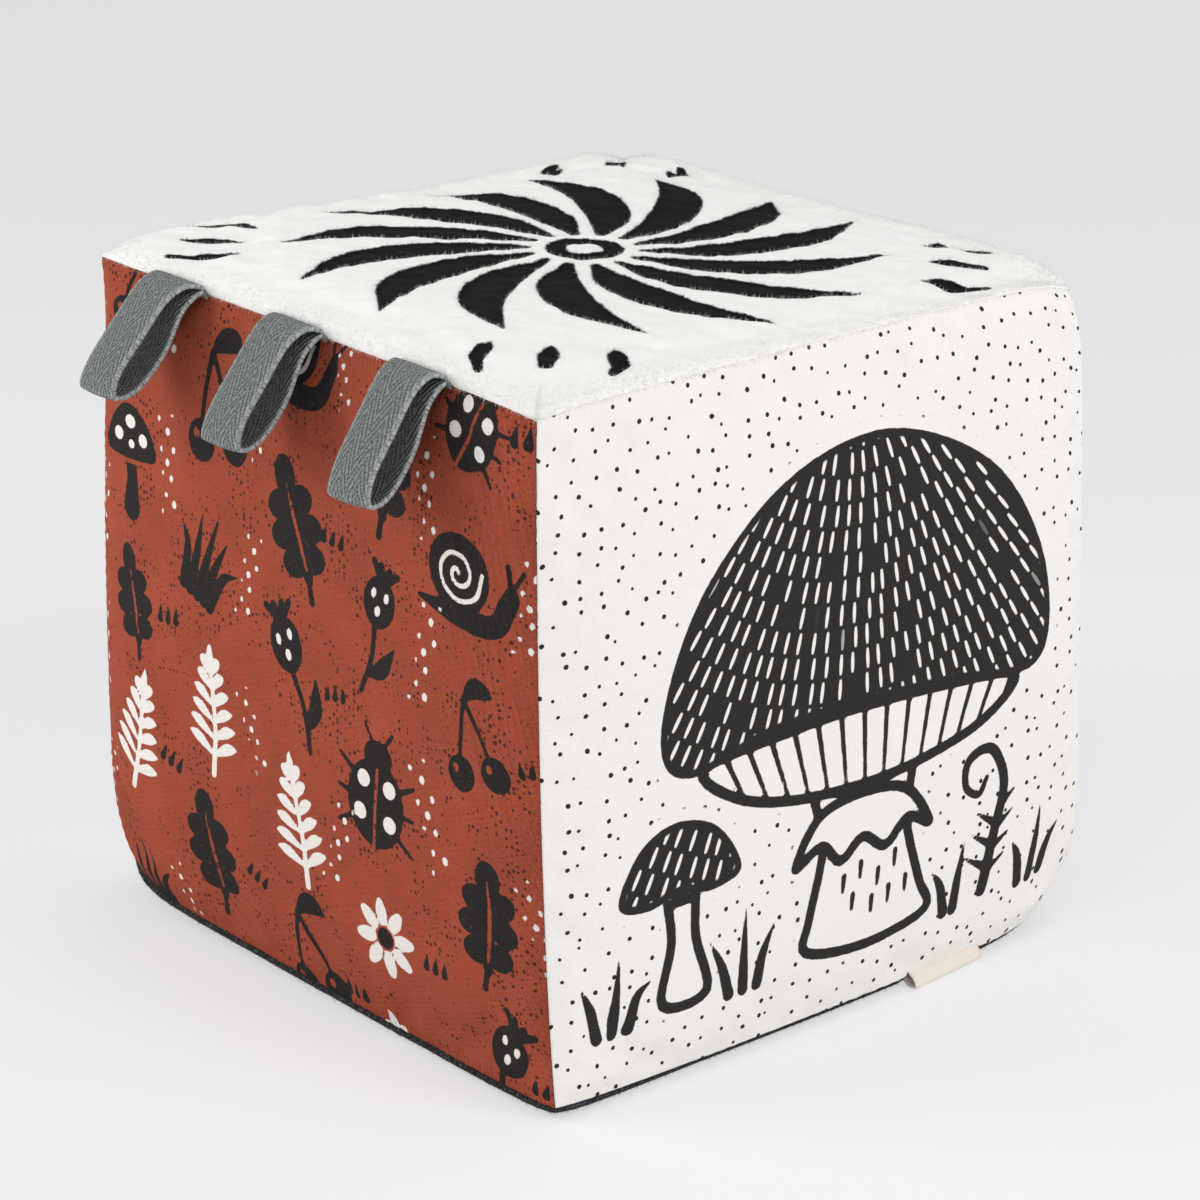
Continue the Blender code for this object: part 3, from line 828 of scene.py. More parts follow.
def sunburst(x, y):
    rays = [
        ray(x, y, 2 * math.pi * number / RAYS + 0.15, RAY_PATH, [1.2, 5.2, 5.0, 0.3])
        for number in range(RAYS)
    ]
    drops = [
        ray(x, y, math.pi * (0.25 + quarter / 2) + lean, DROP_PATH, [0.4, 2.3, 1.5])
        for quarter in range(4)
        for lean in (-0.17, 0.0, 0.17)
    ]
    return {"ink": either(outline(np.hypot(x, y) - 6.5, 2.4), *rays, *drops)}


# %% [markdown]
# ## Panels
# A panel starts as a grid on the unit square. Its rim is extruded ring by ring for the fold and
# the seam allowance, and every point is then laid on the cover. The plush is thick and rolls
# fat over its seams, and so does the felt of the base, down to the floor.

# %% Rims of the panels
COTTON = 0.0003
PLUSH = 0.0009
COTTON_FOLD = 0.00028
SEAM_GAP = 0.00003
ALLOWANCE = 0.003
ALLOWANCE_TURN = 135
DIAGONAL = math.sqrt(2)
PLUSH_HEIGHT = 0.0035
BASE_BULGE = 0.0020
FACE_CELLS, BASE_CELLS = 200, 90

Ring = namedtuple("Ring", "outset depth turn run")


def rim(points, turns):
    """Rings through (outset, depth) points and down the allowance, with the cloth's run to each."""
    outset, depth = points[-1]
    points = [*points, (outset - ALLOWANCE / DIAGONAL, depth + ALLOWANCE / DIAGONAL)]
    run, rings = 0.0, []
    for before, point, turn in zip([points[0], *points], points, (*turns, ALLOWANCE_TURN)):
        run += math.dist(before, point)
        rings.append(Ring(*point, math.radians(turn), run))
    return rings


def folded_rim():
    """Thin cloth: a tight fold round the seam line, and the allowance at 45 degrees behind it."""
    start = -(1 + DIAGONAL) * COTTON_FOLD - SEAM_GAP / DIAGONAL
    turns = (0, 45, 90, 135)
    points = []
    for angle in (math.radians(turn) for turn in turns):
        points.append((start + COTTON_FOLD * math.sin(angle), COTTON_FOLD * (1 - math.cos(angle))))
    return rim(points, turns)


def rolled_rim(height, shape, turns):
    """Thick cloth: a roll through pairs of millimetres outwards and shares of its height."""
    return rim([(outset_mm / 1000, -rise * height) for outset_mm, rise in shape], turns)


FOLDED_RIM = folded_rim()
PLUSH_RIM = rolled_rim(
    PLUSH_HEIGHT,
    ((-7.5, 1.0), (-5.6, 0.99), (-4.0, 0.96), (-2.6, 0.88), (-1.4, 0.73), (-0.5, 0.53),
     (0.1, 0.30), (0.35, 0.06), (0.2, -0.13), (-0.3, -0.24), (-0.9, -0.26)),
    (0, 4, 10, 20, 35, 50, 70, 90, 115, 150, 165),
)
BASE_RIM = rolled_rim(
    BASE_BULGE,
    ((-5.0, 1.0), (-3.2, 0.98), (-1.9, 0.89), (-0.9, 0.71), (-0.3, 0.46), (-0.1, 0.18),
     (-0.3, -0.08), (-0.9, -0.22)),
    (0, 4, 15, 32, 55, 85, 115, 150),
)

# %% [markdown]
# The stitches gather the cloth, so small puckers stand along every seam. They take their phase
# from the seam and not from the panel, so both cloths pucker together. The printed panels are
# also dragged: fine wrinkles run down them to the near seam.

# %% Puckers and wrinkles
Cloth = namedtuple("Cloth", "thickness rim pucker pitch length slant dents")
DOTTED_CLOTH = Cloth(COTTON, FOLDED_RIM, 0.00007, 0.0040, 0.0028, 0.0, 0.00022)
PRINTED_CLOTH = Cloth(COTTON, FOLDED_RIM, 0.00010, 0.0034, 0.0055, 0.9, 0.00030)
CLOTHS = {
    "front": DOTTED_CLOTH,
    "back": DOTTED_CLOTH,
    "left": PRINTED_CLOTH,
    "right": PRINTED_CLOTH,
    "top": Cloth(PLUSH, PLUSH_RIM, 0.00014, 0.0075, 0.0060, 0.0, 0.00025),
    "bottom": Cloth(COTTON, BASE_RIM, 0.00008, 0.0040, 0.0030, 0.0, 0.0),
}
SHORTEST_PUCKER = 0.0012


def seam_puckers(face, cloth, across, up):
    """How far the gathers beside the four seams raise a panel."""
    height = np.zeros_like(across)
    ways = ((face.across, across, face.up, up), (face.up, up, face.across, across))
    for way, share, other_way, other in ways:
        for side in (-1, 1):
            seed = int((np.array(face.out) + side * np.array(way) + 1) @ (1, 3, 9)) + 40
            along = other * sum(other_way) * HALF_WIDTH
            away = (1 - side * share) * HALF_WIDTH
            lean = along + cloth.slant * away * side
            phase = 2 * math.pi * lean / cloth.pitch + 2.2 * wander(lean, 0, 0.021, seed)
            strength = np.clip(0.55 + 0.6 * wander(along, 0, 0.017, seed + 1), 0, 1.3)
            length = cloth.length * (0.8 + 0.5 * wander(along, 0, 0.009, seed + 2))
            fade = np.exp(-away / np.maximum(length, SHORTEST_PUCKER))
            height += cloth.pucker * strength * (1 + np.cos(phase)) * fade
    return height


def drag_wrinkles(x, y):
    """Ridges that the tight near seam drags down a printed panel."""
    ridge = wander(x * 0.97 + y * 0.26, (x * 0.26 - y * 0.97) * 0.12, 0.0036, 71, 9)
    near = np.clip((x - 0.035) / 0.030, 0, 1) * np.clip((y + 0.035) / 0.060, 0, 1)
    return 0.00018 * ridge * near


def plush_lumps(flat, ink_mm):
    """The pile is uneven, most of all on its rolled rim, and the bold strokes lie sunk in it."""
    past = np.max(np.abs(flat), axis=1) - HALF_WIDTH + 0.004
    rim = np.exp(-((past / 0.007) ** 2))
    sunk = -0.0007 * np.clip(0.5 - ink_mm / 1.6, 0, 1) ** 1.2
    soft = 0.00016 * wander(*flat.T, 0.0075, 31, 9) + 0.00005 * wander(*flat.T, 0.0028, 32, 9)
    return sunk + soft + 0.00045 * rim * wander(*flat.T, 0.013, 33, 9)


def plush_roll(across):
    """The plush rolls fat over the seam with the loops, and lies flatter towards the far side."""
    return 0.1 + 0.9 * np.clip((0.35 - across) / 1.35, 0, 1) ** 1.2


# %% [markdown]
# The two panels that people see most wrap a little round their far edges, where the seam
# hides behind a soft bend. Their neighbours are cut back by as much. The plush is round in
# plan at its corners. The felt of the base is cut a little short under the dotted panel, and
# rolls out a little under the panel with the loops.

# %% Soft far edges
WRAP = 0.0024
CUT_BACK = WRAP + 0.0004
WRAP_SIDES = {"front": 1, "left": -1}
CUT_SIDES = {"right": -1, "back": 1}
ROUND_CORNERS = {"top": (0.0028, 14), "bottom": (0.0012, 20)}
ROUND_FROM = 0.0012
FELT_SHORT = 0.0009
FELT_OUT = 0.0006


def soften(side, across, up, outset, depth):
    """Outset and depth of a panel after its wraps, cuts and rounded corners."""
    along = 1 - up**8
    if side in WRAP_SIDES:
        depth = depth + WRAP * along * np.clip(WRAP_SIDES[side] * across, 0, 1) ** 12
    if side in CUT_SIDES:
        far = np.clip(CUT_SIDES[side] * across, 0, 1)
        tip = (far * np.clip(up, 0, 1)) ** 16 * (side == "right")
        outset = outset - CUT_BACK * (along * far**4 + tip)
    if side in ROUND_CORNERS:
        draw, power = ROUND_CORNERS[side]
        raised = np.clip(-depth / ROUND_FROM, 0, 1)
        outset = outset - draw * raised * np.abs(across * up) ** power
    if side == "top":
        depth = np.where(depth < 0, depth * plush_roll(across), depth)
    if side == "bottom":
        outset = outset - FELT_SHORT * np.clip(up, 0, 1) ** 4 * np.clip((across + 1) * 2, 0, 1)
        roll = np.clip(-depth / BASE_BULGE, 0, 1)
        outset = outset + FELT_OUT * 4 * roll * (1 - roll) * np.clip(-across, 0, 1) ** 4
    return outset, depth


# %% [markdown]
# The tapes are sewn between the two allowances, which part to let them through: the plush
# lifts and the printed panel gives way, over the width of each tape.

# %% Room for the tapes
JOINTS = {joint["name"]: joint for joint in frame["joints"]}
LOOP_HINGES = [Vector(JOINTS[f"loop_{number}_bend"]["pos_m"]) for number in (1, 2, 3)]
LABEL_HINGE = Vector(JOINTS["label_bend"]["pos_m"])
RIBBON_WIDTH = 0.0155
LABEL_WIDTH = 0.022
LABEL_MIDDLE = LABEL_HINGE.x - 0.0006


def slot_share(along, middle, width):
    """1 across a tape's width, falling to 0 a little past its edges."""
    share = np.clip(1 - (np.abs(along - middle) - width / 2) / 0.0022, 0, 1)
    return share**2 * (3 - 2 * share)


def tape_room(side, points):
    """How far a panel's edge gives way where a tape comes out."""
    x, y, z = points.T
    if side in ("left", "top"):
        share = sum(slot_share(y, hinge.y, RIBBON_WIDTH) for hinge in LOOP_HINGES)
        away = np.hypot(x - LOOP_HINGES[1].x, z - LOOP_HINGES[1].z)
        move = (0.0006, 0, -0.0007) if side == "left" else (-0.0002, 0, 0.0011)
        return np.outer(share * np.exp(-((away / 0.0032) ** 2)), move)
    if side in ("front", "bottom"):
        share = slot_share(x, LABEL_MIDDLE, LABEL_WIDTH)
        away = np.hypot(y - LABEL_HINGE.y, z - LABEL_HINGE.z)
        move = (0, 0.0002, 0.0003) if side == "front" else (0, 0.0006, -0.0004)
        return np.outer(share * np.exp(-((away / 0.0035) ** 2)), move)
    return 0.0


# %% [markdown]
# Each panel is cut as a grid, laid on the cover by the formulas above, and given its thickness
# inwards. Its UV map is the flat cloth in metres, so weave and print keep their real scale.

# %% Cut, fold and lay a panel
Surface = namedtuple("Surface", "corners points normals flat values")
SURFACES = {}


def cloth_grid(name, columns, rows, rings):
    """A unit grid whose rim is extruded by rings, each marked by its height."""
    select_nothing()
    bpy.ops.mesh.primitive_grid_add(x_subdivisions=columns, y_subdivisions=rows, size=2)
    piece = bpy.context.object
    piece.name = name
    bpy.ops.object.mode_set(mode="EDIT")
    bpy.ops.mesh.select_all(action="SELECT")
    bpy.ops.mesh.region_to_loop()
    for _ in range(rings):
        bpy.ops.mesh.extrude_edges_move(TRANSFORM_OT_translate={"value": (0, 0, 1)})
    bpy.ops.object.mode_set(mode="OBJECT")
    return piece


def corner_vertices(mesh):
    corners = np.zeros(len(mesh.loops), dtype=np.int32)
    mesh.loops.foreach_get("vertex_index", corners)
    return corners


def store_uv(mesh, flat):
    """Write the flat cloth's coordinates as the UV map called cloth."""
    while mesh.uv_layers:
        mesh.uv_layers.remove(mesh.uv_layers[0])
    layer = mesh.uv_layers.new(name="cloth")
    layer.uv.foreach_set("vector", flat[corner_vertices(mesh)].astype(np.float32).ravel())


def store_values(mesh, **named):
    """Write values per vertex, for the shader to read."""
    for name, values in named.items():
        attribute = mesh.attributes.new(name, "FLOAT", "POINT")
        attribute.data.foreach_set("value", values.astype(np.float32))


def keep_surface(side, mesh, flat, values):
    """Note a panel's face before it gets its thickness, for the hairs that grow on it."""
    normals = np.zeros(len(mesh.vertices) * 3)
    mesh.vertices.foreach_get("normal", normals)
    corners = corner_vertices(mesh).reshape(-1, 4)
    SURFACES[side] = Surface(corners, read_points(mesh), normals.reshape(-1, 3), flat, values)


def finish_piece(piece, thickness, offset, material, even=True):
    """Give the cloth its thickness, smooth shading and finish."""
    select_nothing()
    piece.select_set(True)
    bpy.context.view_layer.objects.active = piece
    wall = piece.modifiers.new("thickness", "SOLIDIFY")
    wall.thickness = thickness
    wall.offset = offset
    wall.use_even_offset = even
    bpy.ops.object.modifier_apply(modifier="thickness")
    bpy.ops.object.shade_smooth()
    piece.data.materials.clear()
    piece.data.materials.append(material)


def relax(piece, weights, repeats):
    """Smooth the cloth where the weight is high."""
    group = piece.vertex_groups.new(name="relax")
    for index in np.flatnonzero(weights > 0.02):
        group.add([int(index)], float(weights[index]), "REPLACE")
    smooth = piece.modifiers.new("relax", "SMOOTH")
    smooth.factor, smooth.iterations, smooth.vertex_group = 0.5, repeats, "relax"
    bpy.ops.object.modifier_apply(modifier="relax")
    piece.vertex_groups.clear()


# %% [markdown]
# A panel's rise is the sum of its puff, its puckers, a few shallow dents, and the lumps of the
# pile or the dragged wrinkles. It fades away where the rim turns under.


# %% Make a panel
def panel_lift(side, across, up, flat, inked):
    """How far the cloth of a panel stands out, before its rim fades it."""
    face, cloth = FACES[side], CLOTHS[side]
    lift = seam_puckers(face, cloth, across, up)
    lift += upsampled(PUFFS[side], (up + 1) / 2 * COARSE_CELLS, (across + 1) / 2 * COARSE_CELLS)
    calm = (1 - across**6) * (1 - up**6)
    lift += cloth.dents * calm * (1.2 + wander(*flat.T, 0.045, sum(face.out) + 7))
    if side == "top":
        lift += plush_lumps(flat, inked["ink"])
    if side in ("left", "right"):
        lift += drag_wrinkles(*flat.T)
    return lift


def panel(side, cells, material, drawing=None):
    """One panel of the cover, from its grid to its finish. The drawing gives its ink distances."""
    face, cloth = FACES[side], CLOTHS[side]
    piece = cloth_grid(f"{side}_cover", cells, cells, len(cloth.rim) - 1)
    across, up, mark = read_points(piece.data).T
    outset, depth, turn, run = np.array(cloth.rim)[np.rint(mark).astype(int)].T
    unit = np.stack((across, up), axis=1)
    flat = unit * (HALF_WIDTH + cloth.rim[0].outset)
    flat += np.sign(unit) * (np.abs(unit) > ON_FACE) * run[:, None]
    inked = drawing(*(flat.T * 1000)) if drawing else {}
    lift = panel_lift(side, across, up, flat, inked) * np.clip(np.cos(turn / 1.5), 0, 1)
    outset, depth = soften(side, across, up, outset, depth)
    points = cover(face, across, up, outset + lift * np.sin(turn), depth - lift * np.cos(turn))
    points += tape_room(side, points)
    if side == "bottom":
        rest = FOOT_SEAM - BASE_BULGE
        points[:, 2] = np.maximum(points[:, 2], rest + np.maximum(depth + BASE_BULGE, 0))
        points[:, 2] = rest + (points[:, 2] - rest) * np.maximum(np.abs(across), np.abs(up)) ** 6
    write_points(piece.data, points)
    if side == "top":
        relax(piece, np.abs(across * up) ** 6 * (depth < -0.0002), 60)
    store_uv(piece.data, flat)
    store_values(piece.data, **inked)
    keep_surface(side, piece.data, flat, inked)
    finish_piece(piece, cloth.thickness, -1, material, even=side != "top")
    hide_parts(f"{side}_panel")
    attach(piece, "block")
    print(piece.name, len(piece.data.polygons), "faces")


# %% [markdown]
# ## Cloth finishes
# The dotted cotton is a plain weave with hand-drawn dots: a Voronoi pattern whose cells each
# get a dot of their own size. The cap of the figure is broken by pale dashes that fan out from
# a hub above it, set out in rings.

# %% Dotted cotton
WHITE = (0.856, 0.830, 0.795)
INK = (0.020, 0.018, 0.017, 1)
RING_MM = 5.6


def plain_weave(x, y, pitch):
    """Height of a plain weave: threads that pass over and under each other."""
    odd = abs(((x / pitch).math("FLOOR") + (y / pitch).math("FLOOR")).math("MODULO", 2.0))
    return abs(x.wave(2 * pitch)) * odd + abs(y.wave(2 * pitch)) * (1 - odd)


def edge_gathers(x, y, length, pitch):
    """Fine ridges square to each seam, from the pull of its stitches."""
    limit = HALF_WIDTH * 1000
    near_x = (abs(x) - limit + length).math("MAXIMUM", 0.0) / length
    near_y = (abs(y) - limit + length).math("MAXIMUM", 0.0) / length
    return y.wave(pitch) * near_x + x.wave(pitch) * near_y


def dashes(paint, x, y):
    """1 on pale dashes that run away from the hub."""
    dx, dy = x - DASH_HUB_MM[0], y - DASH_HUB_MM[1]
    radius = (dx * dx + dy * dy).math("SQRT")
    angle = dy.math("ARCTAN2", dx)
    ring = (radius / RING_MM).math("FLOOR")
    count = ring * 9.0 + 5.0
    turn = angle / (2 * math.pi) * count + ring * 0.37
    cell = paint.point(turn.math("FLOOR"), ring)
    chance = paint.node("TexWhiteNoise", {"noise_dimensions": "2D"}, {"Vector": cell})
    sideways = (turn.math("FRACT") - 0.5 + (chance - 0.5) * 0.35) / count * (2 * math.pi) * radius
    lengthways = ((radius / RING_MM).math("FRACT") - 0.5) * RING_MM
    thin = lengthways * lengthways * 0.035 + abs(sideways)
    return thin.rise(0.56, 0.36) * abs(lengthways).rise(2.5, 2.1) * chance.rise(0.06, 0.07)


def dotted_cotton(name):
    paint = Finish(name)
    x, y = paint.cloth_mm()
    place = paint.point(x, y)
    rough_edge = (paint.noise(place, 1.3) - 0.5) * 0.6 + (paint.noise(place, 0.35) - 0.5) * 0.9
    dot_place = paint.point(x / 4.95 + paint.noise(place, 0.7) * 0.06, y / 4.95)
    away, chance = paint.scatter(dot_place, 1.0, 0.76)
    size = chance * 0.045 + 0.074
    dot = (away - size + rough_edge * 0.018).rise(0.015, -0.015)
    ink = (paint.attribute("ink") + rough_edge * 0.34).rise(0.12, -0.12)
    cap = paint.attribute("cap").rise(-1.6, -2.2)
    ink = ink * (1 - cap * dashes(paint, x, y))
    black = ink.math("MAXIMUM", dot * paint.attribute("figure").rise(0.0, 0.8))
    weave = plain_weave(x, y, 0.42)
    shade = (paint.noise(place, 0.06, 3.0) - 0.5) * 0.04 + weave * 0.025 + 0.975
    colour = paint.mix(black * (0.985 + weave * 0.015), paint.tint(WHITE, shade), INK)
    height = weave * 0.05 + edge_gathers(x, y, 3.5, 1.35) * 0.03
    height = height + paint.noise(place, 0.35, 3.0) * 0.25
    normal = paint.bump(height, 0.0011, 0.75)
    return paint.close(Base_Color=colour, Roughness=0.9, Specular_IOR_Level=0.18, Normal=normal)


# %% [markdown]
# The printed panels are a rust twill whose ribs climb across the cloth. Screen ink sits on it
# unevenly: fine specks crowd in some places, and flecks of rust show through the black.


# %% Printed twill
RUST = (0.336, 0.067, 0.034)
SPECK = (0.045, 0.016, 0.012, 1)
CREAM = (0.82, 0.78, 0.73, 1)


def pulled_folds(paint, x, y):
    """Fine folds that run down to the near seam, and short ropy ones beside its lower half."""
    along, down = (x * 0.97 + y * 0.26) * 0.85, (x * 0.26 - y * 0.97) * 0.07
    streaks = paint.noise(paint.point(along, down), 1.0, 2.0)
    upper = x.rise(38.0, 66.0) * y.rise(-45.0, 5.0)
    ropes = (y + x * 0.9).wave(1.7) * x.rise(70.0, 74.5) * y.rise(15.0, -15.0)
    return (streaks - 0.5) * upper * 2.6 + ropes * 0.35


def rust_twill(name):
    paint = Finish(name)
    x, y = paint.cloth_mm()
    place = paint.point(x, y)
    rough_edge = (paint.noise(place, 1.6) - 0.5) * 0.6 + (paint.noise(place, 0.4) - 0.5) * 0.8
    ink_mm = paint.attribute("ink")
    black = (ink_mm + rough_edge * 0.35).rise(0.10, -0.10)
    cream = (paint.attribute("cream") + rough_edge * 0.35).rise(0.10, -0.10)
    away, chance = paint.scatter(place, 0.74, 1.0)
    crowd = (paint.noise(place, 0.08, 2.0) + ink_mm.rise(7.0, 1.0) * 0.10).rise(0.46, 0.64)
    size = (chance * 0.55 - 0.41 + crowd * 0.25).math("MAXIMUM", 0.0)
    specks = (away - size).rise(0.05, -0.05) * size.rise(0.0, 0.06)
    bare = paint.noise(place, 1.7, 2.0).rise(0.67, 0.71)
    rib = (x * 0.85 + y * 0.55).wave(0.62)
    weave = rib + (y * 0.85 - x * 0.35).wave(1.15) * 0.35
    grain = paint.noise(place, 1.5, 3.0, 0.7)
    fold_relief_and_painted_shade = pulled_folds(paint, x, y)
    blotch = paint.noise(place, 0.05, 4.0, 0.6)
    # painted shade: the fold pattern also lightens and darkens the rust along each fold, besides raising its bump
    shade = (blotch - 0.5) * 0.55 + (grain - 0.5) * 0.66 + weave * 0.07 + fold_relief_and_painted_shade * 0.13 + 1.0
    colour = paint.mix(specks * 0.85, paint.tint(RUST, shade), SPECK)
    colour = paint.mix(black * (1 - bare * 0.6), colour, INK)
    colour = paint.mix(cream * (1 - bare * 0.35), colour, CREAM)
    height = weave * 0.05 + edge_gathers(x, y, 5.5, 1.25) * 0.16
    height = height + paint.noise(place, 0.3, 3.0) * 0.2 + fold_relief_and_painted_shade * 0.34
    normal = paint.bump(height, 0.0012, 0.8)
    return paint.close(Base_Color=colour, Roughness=0.9, Specular_IOR_Level=0.15, Normal=normal)


# %% [markdown]
# Plush is a short, dense pile: its tufts catch light in specks and clumps. The charcoal felt of
# the base is a heather of dark and pale wool.


# %% Pile and felt
PILE = (0.895, 0.88, 0.855)
PILE_INK, PILE_INK_FLECK = (0.007, 0.007, 0.007, 1), (0.030, 0.031, 0.031, 1)
DARK_WOOL, PALE_WOOL = (0.020, 0.020, 0.021, 1), (0.10, 0.10, 0.104, 1)


def plush(name):
    paint = Finish(name)
    x, y = paint.cloth_mm()
    place = paint.point(x, y)
    tuft = paint.noise(place, 1.1, 4.0, 0.65)
    clump = paint.noise(place, 0.33, 2.0)
    ink = (paint.attribute("ink") + (tuft - 0.5) * 1.2).rise(0.28, -0.28)
    shade = (tuft - 0.5) * 0.08 + (clump - 0.5) * 0.06 + 0.99
    flecks = paint.noise(place, 2.4, 2.0).rise(0.62, 0.76)
    dark = paint.mix(flecks * 0.6, PILE_INK, PILE_INK_FLECK)
    colour = paint.mix(ink, paint.tint(PILE, shade), dark)
    height = tuft * 0.30 + clump * 0.35 + paint.noise(place, 0.12, 2.0) * 0.8
    normal = paint.bump(height, 0.0011, 0.7)
    return paint.close(Base_Color=colour, Roughness=0.95, Specular_IOR_Level=0.12, Normal=normal)


def charcoal_felt(name):
    paint = Finish(name)
    x, y = paint.cloth_mm()
    place = paint.point(x, y)
    fleck = paint.noise(place, 1.5, 3.0, 0.7)
    colour = paint.mix(fleck.rise(0.45, 0.68), DARK_WOOL, PALE_WOOL)
    normal = paint.bump(fleck * 0.6 + paint.noise(place, 0.5) * 0.4, 0.0008, 0.7)
    return paint.close(Base_Color=colour, Roughness=0.95, Specular_IOR_Level=0.12, Normal=normal)


# %% [markdown]
# ## Sewing
# Now the six panels are cut and laid, each with its finish and its drawing.
# A seed settles which motifs a printed panel shows, so the two rust panels differ.

# %% Sew the six panels
LEFT_PRINT, RIGHT_PRINT = 3, 8

dotted, rust = dotted_cotton("dotted_cotton"), rust_twill("rust_twill")
pile, felt = plush("plush"), charcoal_felt("felt")
panel("front", FACE_CELLS, dotted, big_toadstool)
panel("left", FACE_CELLS, rust, lambda x, y: scattered(x, y, LEFT_PRINT))
panel("top", FACE_CELLS, pile, sunburst)
panel("right", FACE_CELLS, rust, lambda x, y: scattered(x, y, RIGHT_PRINT))
panel("back", FACE_CELLS, dotted, big_leaves)
panel("bottom", BASE_CELLS, felt)

# %% [markdown]
# ## Hairs
# What makes plush look soft is its edge: loose hairs cross the seam and lean over the sunk
# strokes. Each hair is a thin spike of four faces, rooted on the panel and coloured by the
# same finish. The felt of the base has a few too.


# %% Grow hairs on a panel
HAIR_SPREAD = 0.6
HAIR_ROOT = 0.0002
ABOVE_FLOOR = 0.0001
SPIKE = np.array(((0, 1, 3), (1, 2, 3), (2, 0, 3), (2, 1, 0)))


def hairs(name, side, weight, count, length, width, pull, material, seed):
    """Short spikes on a panel, more of them where the weight is high."""
    surface, chance = SURFACES[side], np.random.default_rng(seed)
    square = surface.points[surface.corners]
    diagonals = square[:, 2] - square[:, 0], square[:, 3] - square[:, 1]
    area = np.linalg.norm(np.cross(*diagonals), axis=1)
    share = area * weight[surface.corners].mean(axis=1)
    picked = surface.corners[chance.choice(len(share), count, p=share / share.sum())]
    s, t = chance.uniform(0, 1, (2, count, 1))
    corner_shares = np.concatenate(((1 - s) * (1 - t), s * (1 - t), s * t, (1 - s) * t), axis=1)

    def at_roots(values):
        return np.einsum("ij,ij...->i...", corner_shares, values[picked])

    roots = at_roots(surface.points)
    ways = at_roots(surface.normals) + HAIR_SPREAD * chance.normal(0, 1, (count, 3)) + pull
    ways /= np.linalg.norm(ways, axis=1)[:, None]
    first = np.cross(ways, chance.normal(0, 1, (count, 3)))
    first /= np.linalg.norm(first, axis=1)[:, None]
    second = np.cross(ways, first)
    points = np.zeros((count, 4, 3))
    for number in range(3):
        turn = 2 * math.pi * number / 3
        around = first * math.cos(turn) + second * math.sin(turn)
        points[:, number] = roots - ways * HAIR_ROOT + around * width / 2
    points[:, 3] = roots + ways * length * chance.uniform(0.55, 1.2, (count, 1))
    points[..., 2] = np.maximum(points[..., 2], ABOVE_FLOOR)
    faces = np.arange(count)[:, None, None] * 4 + SPIKE
    mesh = bpy.data.meshes.new(name)
    mesh.from_pydata(points.reshape(-1, 3).tolist(), [], faces.reshape(-1, 3).tolist())
    mesh.shade_smooth()
    piece = bpy.data.objects.new(name, mesh)
    bpy.context.scene.collection.objects.link(piece)
    store_uv(mesh, np.repeat(at_roots(surface.flat), 4, axis=0))
    inked = {key: np.repeat(at_roots(values), 4) for key, values in surface.values.items()}
    store_values(mesh, **inked)
    mesh.materials.append(material)
    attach(piece, "block")
    print(piece.name, len(mesh.polygons), "faces")
    return piece


def rim_weight(side, width):
    """High along the rim of a panel, and nothing where the allowance hides it."""
    past = np.max(np.abs(SURFACES[side].flat), axis=1) - HALF_WIDTH
    hidden = CLOTHS[side].rim[-1].run - ALLOWANCE + CLOTHS[side].rim[0].outset
    return np.exp(-(((past - 0.001) / width) ** 2)) * (past < hidden - 0.0002)


stroke_edge = np.exp(-((SURFACES["top"].values["ink"] / 0.9) ** 2))
pile_weight = rim_weight("top", 0.0035) + 0.6 * stroke_edge * (rim_weight("top", 1.0) > 0)
felt_weight = rim_weight("bottom", 0.002)
for grown, slot in (
    (("plush_hairs", "top", pile_weight, 26000, 0.0010, 0.00009, (0, 0, -0.1), pile, 5), "plush"),
    (("felt_hairs", "bottom", felt_weight, 7000, 0.0007, 0.00008, (0, 0, 0), felt, 6), "charcoal_felt"),
):
    hairs(*grown)

# %% [markdown]
# ## Ribbon loops
# Each loop is one length of herringbone tape: in from the seam, over, down, round its tip and
# back into the seam. Its two edges don't follow the same line, so the tape is laid between a
# near edge and a far edge, and it arches a little between them.

# %% Tapes
RIBBON = 0.0009
RIBBON_ARCH = 0.0004
LOOP_REACHES = (0.0212, 0.0230, 0.0248)
LOOP_DROPS = (0.0230, 0.0214, 0.0200)
NEAR_EDGE_SHARES = (
    (0.0, 0.0), (0.18, -0.07), (0.40, 0.05), (0.64, 0.36), (0.90, 0.72), (0.94, 0.97),
    (0.71, 0.93), (0.42, 0.60), (0.22, 0.19), (0.0, 0.04),
)
FAR_EDGE_SHARES = (
    (0.0, 0.0), (0.10, -0.04), (0.26, 0.05), (0.52, 0.36), (0.80, 0.72), (0.90, 0.98),
    (0.68, 0.95), (0.36, 0.60), (0.16, 0.19), (0.0, 0.04),
)
FAR_REACH_SHARE, FAR_DROP_SHARE = 0.97, 1.05
ROOT_HALF = RIBBON * 0.53
TAIL_RUN = 0.0055
TAPE_STEPS, TAPE_COLUMNS = 8, 20


def tape_line(shares, out, drop):
    """A closed line of (out, up) points: from deep in the seam, round the loop and back."""
    path = [(out * across, -drop * down) for across, down in shares]
    path[0] = (path[0][0], ROOT_HALF)
    path[-1] = (path[-1][0], -ROOT_HALF)
    inward = np.array((-1, -1)) / math.sqrt(2)
    square = np.array((-1, 1)) / math.sqrt(2)
    tail = [inward * TAIL_RUN * share for share in (1.0, 0.5)]
    upper = [point + square * ROOT_HALF for point in tail]
    lower = [point - square * ROOT_HALF for point in reversed(tail)]
    return smooth_curve([*upper, *path, *lower], TAPE_STEPS)


